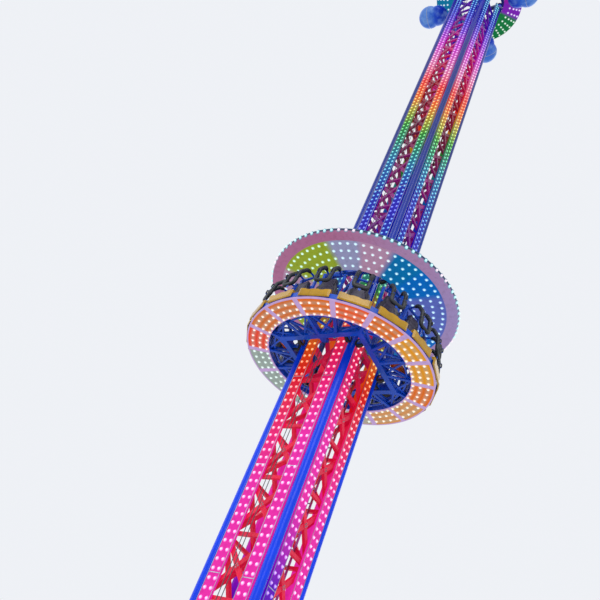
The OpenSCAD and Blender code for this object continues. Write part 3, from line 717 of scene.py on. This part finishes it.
def add_bolt(shape, at, size=0.016, kind=0, stud=0.0):
    """A washer, a hexagon head and, where stud is given, the end of the stud."""
    washer = [(size * 1.45, 0.0), (size * 1.45, size * 0.22), (size * 1.3, size * 0.3)]
    shape.add(*revolve(washer, 16), kind, at)
    shape.add(*prism(round_outline(size, 6), size * 0.3, size * 1.1, size * 0.12), kind, at)
    if stud:
        end = size * 1.1 + stud
        thread = [(size * 0.52, size), (size * 0.52, end - 0.002), (size * 0.4, end)]
        shape.add(*revolve(thread, 12), kind, at)


# Rings of a lamp's dome and of the skirt round it, a painted halo of its light on the board: radius, height,
# and how far its colour is the lamp's own
LAMP_SIDES = 10
LAMP_RINGS = [(2.1, 0.02, 0.0), (1.25, 0.05, 0.4), (1.05, 0.3, 0.75), (0.95, 0.6, 1.0), (0.6, 0.9, 1.0)]
# Radius and height of the lamps
STRIP_LAMP = (0.018, 0.026)
RING_LAMP = (0.019, 0.026)
CANOPY_LAMP = (0.020, 0.028)
CROWN_LAMP = (0.020, 0.026)
RIM_LAMP = (0.024, 0.036)
POD_LAMP = (0.022, 0.012)


def add_lamp(shape, at, size, core, halo):
    """A lamp: core is its own colour and halo the board's, at the skirt's edge; the skirt is a painted halo
    of the lamp's glow.
    """
    radius, height = size
    verts, tints = [], []
    for r, z, share in LAMP_RINGS:
        verts += [(x, y, height * z) for x, y in round_outline(radius * r, LAMP_SIDES)]
        tints += [blended(halo, core, share)] * LAMP_SIDES
    verts.append((0.0, 0.0, height))
    tints.append(core)
    faces = joined(LAMP_SIDES, LAMP_RINGS, capped=False)
    last = (len(LAMP_RINGS) - 1) * LAMP_SIDES
    faces += [(last + i, last + (i + 1) % LAMP_SIDES, len(verts) - 1) for i in range(LAMP_SIDES)]
    faces.append(tuple(reversed(range(LAMP_SIDES))))
    shape.add(verts, faces, 0, at, tints)


STRIP_PITCH = 0.16
COLUMN = 0.062
strip_rows = int((STRIP_TOP - STRIP_FOOT - 0.1) / STRIP_PITCH)
for face, turn in enumerate(FACES):
    for side in (-1, 1):
        shape = Shape()
        middle = side * (STRIP_IN + STRIP_OUT) / 2
        for row in range(strip_rows + 1):
            z = STRIP_FOOT + 0.08 + row * STRIP_PITCH
            for x in (middle - COLUMN, middle + COLUMN):
                at = turn @ aimed((x, -STRIP_FACE, z), (0, -1, 0))
                core, halo = (run_colour(at[0][3], at[1][3], z, index) for index in (1, 0))
                add_lamp(shape, at, STRIP_LAMP, core, halo)
        shape.piece(f"strip_lamps_{face}_{'left' if side < 0 else 'right'}", "tower", "light_strips", [lamp])


def sector(x, y):
    return int(math.atan2(y, x) % math.tau / STEP) % SEATS


def ring_lamps(name, body, slot, rows, z, sectors, size, accent=None):
    """Lamps under a light ring: rows are (radius, count, first angle)."""
    shape = Shape()
    for r, count, first in rows:
        for i in range(count):
            a = first + math.tau * i / count
            point = polar(r, a, z)
            colour = srgb(*sectors[sector(point.x, point.y)])
            core = blended(colour, WHITE, 0.8)
            if accent:
                core = blended(core, srgb(*accent), 0.6)
            add_lamp(shape, aimed(point, (0, 0, -1)), size, core, blended(colour, core, 0.1))
    shape.piece(name, body, slot, [lamp])


ring_rows = [(r, 4 * SEATS, STEP / 8) for r in RING_ROWS]
canopy_rows = [(r, count, 0.03 * j) for j, (r, count) in enumerate(CANOPY_ROWS)]
crown_rows = [(r, 40, math.radians(4.5)) for r in CROWN_ROWS]
MINT = (0.86, 1.0, 0.96)
AQUA = (0.72, 1.0, 1.0)
ring_lamps("ring_lamps", "gondola", "ring_panels", ring_rows, RING_Z, ring_sectors, RING_LAMP, MINT)
ring_lamps(
    "canopy_lamps", "gondola", "canopy_panels", canopy_rows, CANOPY_Z, canopy_sectors, CANOPY_LAMP, AQUA
)
ring_lamps("crown_lamps", "tower", "crown_panels", crown_rows, CROWN_Z, crown_sectors, CROWN_LAMP)

# Lamps on the lower edge of the canopy's rim
RIM_LAMPS = 84
shape = Shape()
for i in range(RIM_LAMPS):
    a = math.tau * (i + 0.5) / RIM_LAMPS
    tone = (1.0, 0.80, 0.92) if i % 14 in (9, 10, 11) else (0.50, 0.96, 0.98)
    out = (polar(1.0, a) - Vector((0, 0, 0.35))).normalized()
    at = aimed(polar(CANOPY_OUT - 0.008, a, CANOPY_Z + 0.034), out)
    add_lamp(shape, at, RIM_LAMP, blended(srgb(*tone), WHITE, 0.45), srgb(0.12, 0.42, 0.52))
shape.piece("rim_lamps", "gondola", "canopy_rim", [lamp])

# Edge rails and joint plates of the strips
RAIL_W = 0.009
SEGMENTS = 13
SEGMENT = (STRIP_TOP - STRIP_FOOT) / SEGMENTS
STRIP_SKIN = -STRIP_FACE - 0.0002
JOINT_FACE = -STRIP_FACE - 0.003
shape = Shape()
for turn in FACES:
    for side in (-1, 1):
        low, high = sorted((side * STRIP_IN, side * STRIP_OUT))
        for a in (low, high - RAIL_W):
            rail = block(a, a + RAIL_W, -STRIP_FACE - 0.006, STRIP_SKIN, STRIP_FOOT, STRIP_TOP, 0.0015)
            shape.add(*rail, 0, turn)
        for k in range(1, SEGMENTS):
            z = STRIP_FOOT + k * SEGMENT
            joint = block(low + RAIL_W, high - RAIL_W, JOINT_FACE, STRIP_SKIN, z - 0.007, z + 0.007, 0.001)
            shape.add(*joint, 0, turn)
            for x in (low + 0.03, high - 0.03):
                add_bolt(shape, turn @ aimed((x, JOINT_FACE, z), (0, -1, 0)), 0.005)
shape.piece("strip_rails", "tower", "light_strips", [alu])

# Plates and bolts where the lattice's bars cross
PLATE_R = 0.062
PLATE_FACE = 0.008
for side, turn in zip(SIDES, FACES):
    shape = Shape()
    for k in range(BAYS):
        at = turn @ aimed((0, -LATTICE_OUT, LATTICE_Z + (k + 0.5) * BAY), (0, -1, 0))
        shape.add(*prism(round_outline(PLATE_R, 8, 0.5), CLEAR, PLATE_FACE), 0, at)
        for x, y in ((0.03, 0), (-0.03, 0), (0, 0.03), (0, -0.03)):
            add_bolt(shape, at @ shifted(x, y, PLATE_FACE), 0.009, 1)
    shape.piece(f"lattice_plates_{side}", "tower", f"lattice_{side}", [lattice_paint, steel])

# Restraints: a steel fork on the pin, a padded U over the shoulders and across the lap, and grips
YOKE = 0.14
TUBE_R = 0.021
PAD_R = 0.042
LAP_R = 0.036
HUB_R = 0.031
PIN_R = 0.01508
HUB_HALF = 0.169
PAD_SIDES = 18
PAD_STEP = 0.0075
LAP_FROM = 0.60
HALF_U = [
    (0.150, YOKE, -0.005), (0.214, YOKE, -0.010), (0.262, YOKE, -0.052), (0.318, YOKE, -0.134),
    (0.368, YOKE, -0.210), (0.384, YOKE, -0.300), (0.396, YOKE, -0.400), (0.406, YOKE, -0.490),
    (0.410, YOKE - 0.006, -0.528), (0.412, YOKE - 0.034, -0.556), (0.412, YOKE - 0.075, -0.560),
    (0.412, 0.0, -0.560),
]
WHOLE_U = HALF_U + [(x, -y, z) for x, y, z in reversed(HALF_U[:-1])]
# Arms and grips as (out, up) points, and the turned parts as (radius, along)
ARM = [(0.024, -0.001), (0.10, -0.003), (0.17, -0.006)]
ARM_WAY = (1, 0, -0.04)
GRIP = [
    (0.392, -0.242), (0.424, -0.250), (0.440, -0.268), (0.446, -0.310), (0.446, -0.350),
    (0.438, -0.366), (0.406, -0.372),
]
HALF_HUB = [
    (PIN_R, HUB_HALF), (HUB_R - 0.003, HUB_HALF), (HUB_R, HUB_HALF - 0.003), (HUB_R, 0.11),
    (HUB_R - 0.004, 0.105),
]
HUB = [(r, -z) for r, z in HALF_HUB] + HALF_HUB[::-1]
WELD = [(TUBE_R, 0.0), (TUBE_R + 0.006, 0.001), (TUBE_R + 0.002, 0.012), (TUBE_R, 0.014)]
CUFF = [
    (TUBE_R, 0.0), (TUBE_R + 0.008, 0.0), (TUBE_R + 0.010, 0.008), (TUBE_R + 0.008, 0.018),
    (TUBE_R, 0.018),
]
LATCH = [
    (-0.028, -0.012), (0.028, -0.012), (0.028, 0.030), (0.014, 0.052), (-0.014, 0.052),
    (-0.028, 0.030),
]
LATCH_TURN = Matrix(((0, 0, 1, 0), (1, 0, 0, 0), (0, -1, 0, 0), (0, 0, 0, 1)))


def pad_rings(path):
    """Radius along the padded U: round ends, thinner across the lap, drawn in at the sewn channels."""
    run = [0.0]
    for a, b in zip(path, path[1:]):
        run.append(run[-1] + (b - a).length)
    whole = run[-1]
    channels = [0.075 + 0.088 * k for k in range(6)]
    channels += [whole - c for c in channels]
    radii = []
    for s in run:
        end = min(s, whole - s)
        r = PAD_R + (LAP_R - PAD_R) * clamped(end, LAP_FROM, LAP_FROM + 0.08)
        r *= math.sqrt(max(0.30, 1 - (1 - min(1.0, end / 0.035)) ** 2))
        r *= 1 - 0.16 * sum(math.exp(-((s - c) / 0.0075) ** 2) for c in channels)
        radii.append(r)
    return radii


def evened(path, gap):
    """The same curve with points about gap apart."""
    out, left = [path[0]], gap
    for a, b in zip(path, path[1:]):
        length = (b - a).length
        while left <= length:
            out.append(a.lerp(b, left / length))
            left += gap
        left -= length
    return out + [path[-1]]


pad_path = evened(smooth_path(WHOLE_U, 12), PAD_STEP)
pad_bulges = [1.07 if i in (4, 13) else 1.0 for i in range(PAD_SIDES)]
pad_shape = sweep(pad_path, pad_rings(pad_path), PAD_SIDES, pad_bulges)


def add_fork(shape, at):
    """Hub, arms, grips and latch plate of a restraint, about its pin."""
    shape.add(*revolve(HUB, 28, True), 0, at @ Matrix.Rotation(math.pi / 2, 4, "X"))
    for y in (-YOKE, YOKE):
        shape.add(*sweep([(x, y, z) for x, z in ARM], TUBE_R, 16), 0, at)
        shape.add(*revolve(WELD, 16, True), 0, at @ aimed((0.029, y, -0.001), ARM_WAY))
        shape.add(*revolve(CUFF, 18, True), 1, at @ aimed((0.140, y, -0.0045), ARM_WAY))
        grip = smooth_path([(x, y, z) for x, z in GRIP], 4)
        shape.add(*sweep(grip, 0.0085, 10), 0, at)
        sleeve = grip[7:-7]
        radii = [0.0125] + [0.0138] * (len(sleeve) - 2) + [0.0125]
        shape.add(*sweep(sleeve, radii, 12), 1, at)
    shape.add(*prism(LATCH, -0.005, 0.005, 0.0015), 0, at @ shifted(0.412, 0, -0.595) @ LATCH_TURN)


for k, turn in enumerate(SEAT_TURNS):
    name = f"restraint_{k + 1:02d}"
    body = f"harness_{k + 1:02d}"
    at = turn @ shifted(STRUT_X, 0, PIVOT_Z)
    pad = Shape().add(*pad_shape, 0, at).piece(f"{name}_pad", body, name, [pad_vinyl], sharp=60.0)
    fork = Shape()
    add_fork(fork, at)
    fork = fork.piece(f"{name}_fork", body, name, [frame_blue, black_rubber])
    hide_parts(name)
    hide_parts(name)

# Cushions: crowned closed forms on the seats' shells
DISH_R = 0.42
DISH_MID = 0.045


def cushion(columns, lines, base, out, thick):
    """A closed form over base(u, v), u from -1 to 1 and v from 0 to 1, thick(u, v) high along out(u, v)."""
    top, under = [], []
    for j in range(lines + 1):
        v = 0.5 - 0.5 * math.cos(math.pi * j / lines)
        for i in range(columns + 1):
            u = -math.cos(math.pi * i / columns)
            point, way = base(u, v), out(u, v)
            under.append(point + way * SOFT_LIFT)
            top.append(point + way * (SOFT_LIFT + thick(u, v)))
    wide = columns + 1
    count = len(top)
    faces = []
    for j in range(lines):
        for i in range(columns):
            a = j * wide + i
            faces.append((a, a + 1, a + 1 + wide, a + wide))
            faces.append((count + a, count + a + wide, count + a + 1 + wide, count + a + 1))
    rim = list(range(columns)) + [columns + j * wide for j in range(lines)]
    rim += [lines * wide + i for i in range(columns, 0, -1)] + [j * wide for j in range(lines, 0, -1)]
    for a, b in zip(rim, rim[1:] + rim[:1]):
        faces.append((a, count + a, count + b, b))
    return [tuple(v) for v in top + under], faces


def crown(u, v):
    """1 over most of a cushion, falling to 0 at its rim."""
    return math.sqrt(max(0.0, 1 - abs(u) ** 8)) * math.sqrt(max(0.0, 1 - abs(2 * v - 1) ** 16))


def groove(value, places, width):
    """1 beside the seams at places, and less than half in them."""
    return 1 - 0.55 * min(1.0, sum(math.exp(-((value - p) / width) ** 2) for p in places))


def table(value, rows):
    """A smooth curve through rows of (value, result), level after the last one."""
    for (a, x), (b, y) in zip(rows, rows[1:]):
        if value <= b:
            t = (value - a) / (b - a)
            return x + (y - x) * t * t * (3 - 2 * t)
    return rows[-1][1]


BACK_LOW = 0.085
BACK_HIGH = 0.735
BACK_WIDTH = [
    (0.0, 0.172), (0.30, 0.176), (0.62, 0.135), (0.74, 0.094), (0.80, 0.112), (0.94, 0.116), (1.0, 0.10),
]
BACK_SEAMS = (0.16, 0.32, 0.48, 0.64, 0.755)


def back_base(u, v):
    y = u * table(v, BACK_WIDTH)
    x = SEAT_X + DISH_MID + DISH_R - math.sqrt(DISH_R ** 2 - y * y)
    return Vector((x, y, BACK_LOW + (BACK_HIGH - BACK_LOW) * v))


def back_out(u, v):
    y = u * table(v, BACK_WIDTH)
    return Vector((math.sqrt(DISH_R ** 2 - y * y) / DISH_R, -y / DISH_R, 0))


def back_thick(u, v):
    sides = 0.4 + 0.6 * groove(abs(u), [0.62], 0.05)
    return 0.002 + 0.022 * crown(u, v) * groove(v, BACK_SEAMS, 0.014) * sides


THIGH_Y = 0.13
THIGH_R = 0.16
WELL_Z = 0.044
PAN_BACK = SEAT_X + 0.112
PAN_FRONT = SEAT_FRONT - 0.028
PAN_TOP = [(SEAT_X, 0.04), (SEAT_X + 0.18, 0.04), (SEAT_FRONT - 0.11, 0.066), (SEAT_FRONT - 0.024, 0.076)]


def pan_level(x, y):
    """Height of the seat's shell above its foot: a moulded top with a well for each thigh."""
    off = abs(abs(y) - THIGH_Y)
    well = WELL_Z + THIGH_R - math.sqrt(THIGH_R ** 2 - off * off) if off < THIGH_R else 1.0
    return min(table(x, PAN_TOP), well)


def pan_base(u, v):
    x = PAN_BACK + (PAN_FRONT - PAN_BACK) * v
    y = u * (0.198 + 0.036 * v)
    return Vector((x, y, pan_level(x, y)))


def pan_thick(u, v):
    seams = groove(v, [0.33, 0.66], 0.022) * groove(abs(u), [0.0, 0.5], 0.03)
    return 0.002 + 0.017 * crown(u, v) * seams


backs, pans = Shape(), Shape()
back_shape = cushion(16, 44, back_base, back_out, back_thick)
pan_shape = cushion(24, 24, pan_base, lambda u, v: Vector((0, 0, 1)), pan_thick)
for turn in SEAT_TURNS:
    at = turn @ shifted(0, 0, SEAT_Z)
    backs.add(*back_shape, 0, at)
    pans.add(*pan_shape, 0, at)
backs.piece("back_cushions", "gondola", "seat_backs", [seat_vinyl], sharp=70.0)
pans.piece("pan_cushions", "gondola", "seat_pans", [seat_vinyl], sharp=70.0)

# Nuts on the ends of the restraints' pins
PIN_END = STRUT_Y + 0.0335
shape = Shape()
for turn in SEAT_TURNS:
    for side in (-1, 1):
        at = turn @ aimed((STRUT_X, side * PIN_END, PIVOT_Z), (0, side, 0))
        add_bolt(shape, at, 0.0145, stud=0.004)
shape.piece("pin_nuts", "gondola", "restraint_pins", [steel])

# Bolted flanges at both ends of the uprights
UPRIGHT_X = 0.35
FLANGE_X = 0.0655
FLANGE_T = 0.012
shape = Shape()
for turn in FACES:
    for x in (-UPRIGHT_X, UPRIGHT_X):
        for z, way in ((BEAM_Z + BEAM_H, 1), (CANOPY_FOOT, -1)):
            for side in (-1, 1):
                at = turn @ shifted(x + side * FLANGE_X, -FRAME_HALF, z + way * 0.001)
                low, high = sorted((0.0, way * FLANGE_T))
                shape.add(*block(-0.020, 0.020, -0.042, 0.042, low, high), 0, at)
                for y in (-0.026, 0.026):
                    add_bolt(shape, at @ aimed((0, y, way * FLANGE_T), (0, 0, way)), 0.008, 1)
shape.piece("upright_flanges", "gondola", "gondola_uprights", [frame_blue, steel])

# Small lamp pods on the inner faces of the gondola's square frame
POD = [(0.030, 0.0), (0.034, 0.004), (0.036, 0.026), (0.033, 0.030)]
shape = Shape()
pods = Shape()
for turn in FACES:
    for x in (-0.30, 0.30):
        at = turn @ aimed((x, -FRAME_HALF + BEAM_W / 2 + CLEAR, BEAM_Z + 0.05), (0, 1, 0))
        pods.add(*revolve(POD, 20), 0, at)
        add_lamp(shape, at @ shifted(0, 0, 0.0302), POD_LAMP, srgb(0.62, 1.0, 1.0), srgb(0.10, 0.55, 0.62))
shape.piece("pod_lamps", "gondola", "gondola_frame", [lamp])
pods.piece("lamp_pods", "gondola", "gondola_frame", [black_rubber])

# Rigid air pipe round the gondola's arms, with a saddle clip on each arm
PIPE_R = 1.46
PIPE_Z = ARM_TOP + 0.017
PIPE_POINTS = 96
CLIP_R = 0.0132
CLIP_Z = 0.0166
CLIP_HALF = 0.014
CLIP_T = 0.004


def saddle_clip():
    """The bent middle of a clip: a strip in an arc over the pipe, inside and outside."""
    angles = [math.radians(60 + 10 * i) for i in range(25)]
    edges = (-CLIP_HALF, CLIP_HALF)
    arc = []
    for r in (CLIP_R, CLIP_R * 1.16):
        arc += [(r * math.sin(a), y, CLIP_Z - r * math.cos(a)) for a in angles for y in edges]
    n = 2 * len(angles)
    faces = []
    for a in range(0, n - 2, 2):
        faces += [(a, a + 2, a + 3, a + 1), (n + a, n + a + 1, n + a + 3, n + a + 2)]
        faces += [(a, n + a, n + a + 2, a + 2), (a + 1, a + 3, n + a + 3, n + a + 1)]
    return arc, faces + [(0, 1, n + 1, n), (n - 2, 2 * n - 2, 2 * n - 1, n - 1)]


shape = Shape()
pipe = [polar(PIPE_R, math.tau * i / PIPE_POINTS, PIPE_Z) for i in range(PIPE_POINTS)]
shape.add(*sweep(pipe, 0.011, 10, loop=True))
for turn in ARMS:
    at = turn @ shifted(PIPE_R, 0, ARM_TOP + 0.0004)
    for low, high in ((-0.030, -0.0135), (0.0135, 0.030)):
        shape.add(*block(low, high, -CLIP_HALF, CLIP_HALF, 0.0, CLIP_T, 0.001), 1, at)
    shape.add(*saddle_clip(), 1, at)
    for x in (-0.022, 0.022):
        add_bolt(shape, at @ shifted(x, 0, CLIP_T), 0.0045, 1)
shape.piece("air_pipe", "gondola", "gondola_frame", [alu, steel])

# Battens and bolts on the canopy's roof
ROOF_IN = 1.40
ROOF_OUT = CANOPY_OUT - 0.075
BATTEN_TOP = ROOF_TOP + 0.009
shape = Shape()
for turn in ARMS:
    shape.add(*block(ROOF_IN, ROOF_OUT, -0.022, 0.022, ROOF_TOP + CLEAR, BATTEN_TOP), 0, turn)
    for i in range(5):
        r = ROOF_IN + 0.04 + (ROOF_OUT - ROOF_IN - 0.08) * i / 4
        add_bolt(shape, turn @ shifted(r, 0, BATTEN_TOP), 0.008, 1)
shape.piece("roof_battens", "gondola", "canopy_roof", [roof_paint, steel])

# Lit liner inside the crown's ring
LINER = [
    (0.934, -0.002), (0.938, -0.010), (1.040, -0.010), (1.052, -0.006), (1.052, -0.0006), (0.934, -0.0006),
]
shape = Shape()
shape.add(*revolve(LINER, 96, True), 0, shifted(0, 0, CROWN_Z))
shape.piece("crown_liner", "tower", "crown_trim", [crown_sheet])

# Bands round the outer globes, and the collars of their hangers
BAND = [(GLOBE_R + r, z) for r, z in ((0.0004, -0.008), (0.004, -0.007), (0.004, 0.007), (0.0004, 0.008))]
COLLAR = [(0.0254, 0.335), (0.068, 0.335), (0.066, 0.372), (0.034, 0.400), (0.0254, 0.400)]
shape = Shape()
for face in FACES:
    turn = face @ turned(GLOBE_TURN)
    at = turn @ shifted(GLOBE_OUT, 0, GLOBE_Z)
    shape.add(*revolve(BAND, 72, True), 0, at @ Matrix.Rotation(math.pi / 2, 4, "Y"))
    shape.add(*revolve(COLLAR, 32, True), 0, turn @ shifted(HANGER_OUT, 0, GLOBE_Z))
shape.piece("globe_bands", "tower", "crown_globes", [alu])

# Cooling fins, end caps and terminal boxes of the winch motors
FINS = 10
FIN_R = 0.143
CAP = [(0.098, CLEAR), (0.104, 0.003), (0.104, 0.008), (0.094, 0.012)]
shape = Shape()
for turn in FACES[::2]:
    along = turn @ aimed((0, -MOTOR_Y, DRUM_Z), (1, 0, 0))
    for i in range(FINS):
        x = 0.185 + 0.024 * i
        foot = MOTOR_R + 0.0004
        fin = [(foot, x - 0.003), (FIN_R, x - 0.002), (FIN_R, x + 0.002), (foot, x + 0.003)]
        shape.add(*revolve(fin, 64, True), 0, along)
    at = along @ shifted(0, 0, MOTOR_END)
    shape.add(*revolve(CAP, 48), 0, at)
    for i in range(6):
        add_bolt(shape, at @ shifted(*polar(0.072, math.tau * i / 6, 0.012)), 0.008, 1)
    box = turn @ shifted(0.29, -MOTOR_Y, DRUM_Z + 0.1435)
    shape.add(*block(-0.060, 0.060, -0.045, 0.045, 0.0, 0.060, 0.004), 0, box)
    shape.add(*block(-0.064, 0.064, -0.049, 0.049, 0.0605, 0.072, 0.004), 0, box)
    for x in (-0.052, 0.052):
        for y in (-0.037, 0.037):
            add_bolt(shape, box @ shifted(x, y, 0.072), 0.005, 1)
shape.piece("motor_fittings", "tower", "winch_housings", [winch_paint, steel])

# Bolts of the head frame's flanges, on a circle round each post
BOLT_CIRCLE = 0.099
shape = Shape()
for x, y in CORNERS:
    for angle in (60, 90, 120, 240, 270, 300):
        at = shifted(x, y, 0) @ shifted(*polar(BOLT_CIRCLE, math.radians(angle), FLANGE_TOP))
        add_bolt(shape, at, 0.011)
shape.piece("head_bolts", "tower", "head_frame", [steel])

# Caps on the ends of the guide rollers' axles
ROLLER_Y = 0.7293
AXLE_END = 0.0503
AXLE_CAP = [(0.018, 0.0), (0.021, 0.002), (0.021, 0.006), (0.016, 0.008)]
shape = Shape()
for z in (BEAM_Z, CANOPY_FOOT + CLEAR):
    for turn in FACES:
        for x in (-POST, POST):
            for way in (-1, 1):
                at = turn @ aimed((x + way * AXLE_END, -ROLLER_Y, z + BEAM_H / 2), (way, 0, 0))
                shape.add(*revolve(AXLE_CAP, 24), 0, at)
shape.piece("axle_caps", "gondola", "guide_rollers", [alu])

# Anchor bolts of the base
ANCHOR = 0.19
BASE_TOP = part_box("base_frame")[0][2] + BASE_T + CLEAR
shape = Shape()
for x, y in CORNERS:
    for a in (-ANCHOR, ANCHOR):
        for b in (-ANCHOR, ANCHOR):
            add_bolt(shape, shifted(x + a, y + b, BASE_TOP), 0.026, stud=0.022)
shape.piece("anchor_bolts", "tower", "base_frame", [steel])


# Light, floor and camera
def sun(name, way, energy, angle, colour=(1, 1, 1)):
    """A soft sun lamp that shines from the direction way."""
    light = bpy.data.lights.new(name, "SUN")
    light.energy = energy
    light.angle = math.radians(angle)
    light.color = colour
    obj = bpy.data.objects.new(name, light)
    obj.rotation_euler = Vector(way).to_track_quat("Z", "Y").to_euler()
    bpy.context.scene.collection.objects.link(obj)


sun("key", (0.45, -0.75, 0.62), 1.15, 40)
sun("fill", (-0.8, -0.45, 0.35), 0.55, 60)
sun("back", (-0.2, 0.85, 0.45), 0.6, 60)

# The room lights the part in ROOM, and the camera and mirrors see BACKDROP
BACKDROP = (0.86, 0.88, 0.92, 1)
ROOM = (0.92, 0.95, 1.0, 1)
world = bpy.data.worlds.new("studio")
bpy.context.scene.world = world
world.use_nodes = True
tree = world.node_tree
tree.nodes.clear()
both = tree.nodes.new("ShaderNodeMixShader")
for index, (colour, strength) in enumerate(((ROOM, 0.6), (BACKDROP, 1.0))):
    shade = tree.nodes.new("ShaderNodeBackground")
    shade.inputs["Color"].default_value = colour
    shade.inputs["Strength"].default_value = strength
    tree.links.new(shade.outputs[0], both.inputs[index + 1])
rays = tree.nodes.new("ShaderNodeLightPath")
seen = rays.outputs["Is Camera Ray"]
for ray in ("Is Glossy Ray", "Is Transmission Ray"):
    joint = tree.nodes.new("ShaderNodeMath")
    joint.operation = "MAXIMUM"
    tree.links.new(seen, joint.inputs[0])
    tree.links.new(rays.outputs[ray], joint.inputs[1])
    seen = joint.outputs[0]
tree.links.new(seen, both.inputs[0])
surface = tree.nodes.new("ShaderNodeOutputWorld")
tree.links.new(both.outputs[0], surface.inputs["Surface"])

floor_mat = Mat("floor")
greys = [(0.3, (0.70, 0.72, 0.75, 1)), (0.7, (0.74, 0.76, 0.79, 1))]
floor_mat.colour(floor_mat.ramp(floor_mat.noise(0.6), greys))
floor_mat.set(Roughness=0.9)
FLOOR = 600
corners = [(x * FLOOR, y * FLOOR, 0) for x, y in ((-1, -1), (1, -1), (1, 1), (-1, 1))]
data = bpy.data.meshes.new("floor")
data.from_pydata(corners, [], [(0, 1, 2, 3)])
floor = bpy.data.objects.new("floor", data)
floor.location = (0, 0, -0.002)
data.materials.append(floor_mat.mat)
bpy.context.scene.collection.objects.link(floor)
floor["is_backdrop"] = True

camera = bpy.data.objects.new("camera", bpy.data.cameras.new("camera"))
camera.data.sensor_width = 36.0
camera.data.lens = 40.46
right = Vector((0.8316, 0.4450, 0.3324)).normalized()
up = Vector((0.0916, -0.7001, 0.7082)).normalized()
back = right.cross(up).normalized()
up = back.cross(right)
camera.matrix_world = Matrix((right, up, back)).transposed().to_4x4()
camera.location = (7.084, -9.060, 1.6)
camera.data.clip_end = 400
bpy.context.scene.collection.objects.link(camera)
bpy.context.scene.camera = camera
bpy.context.scene.view_settings.view_transform = "Standard"

low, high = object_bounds()
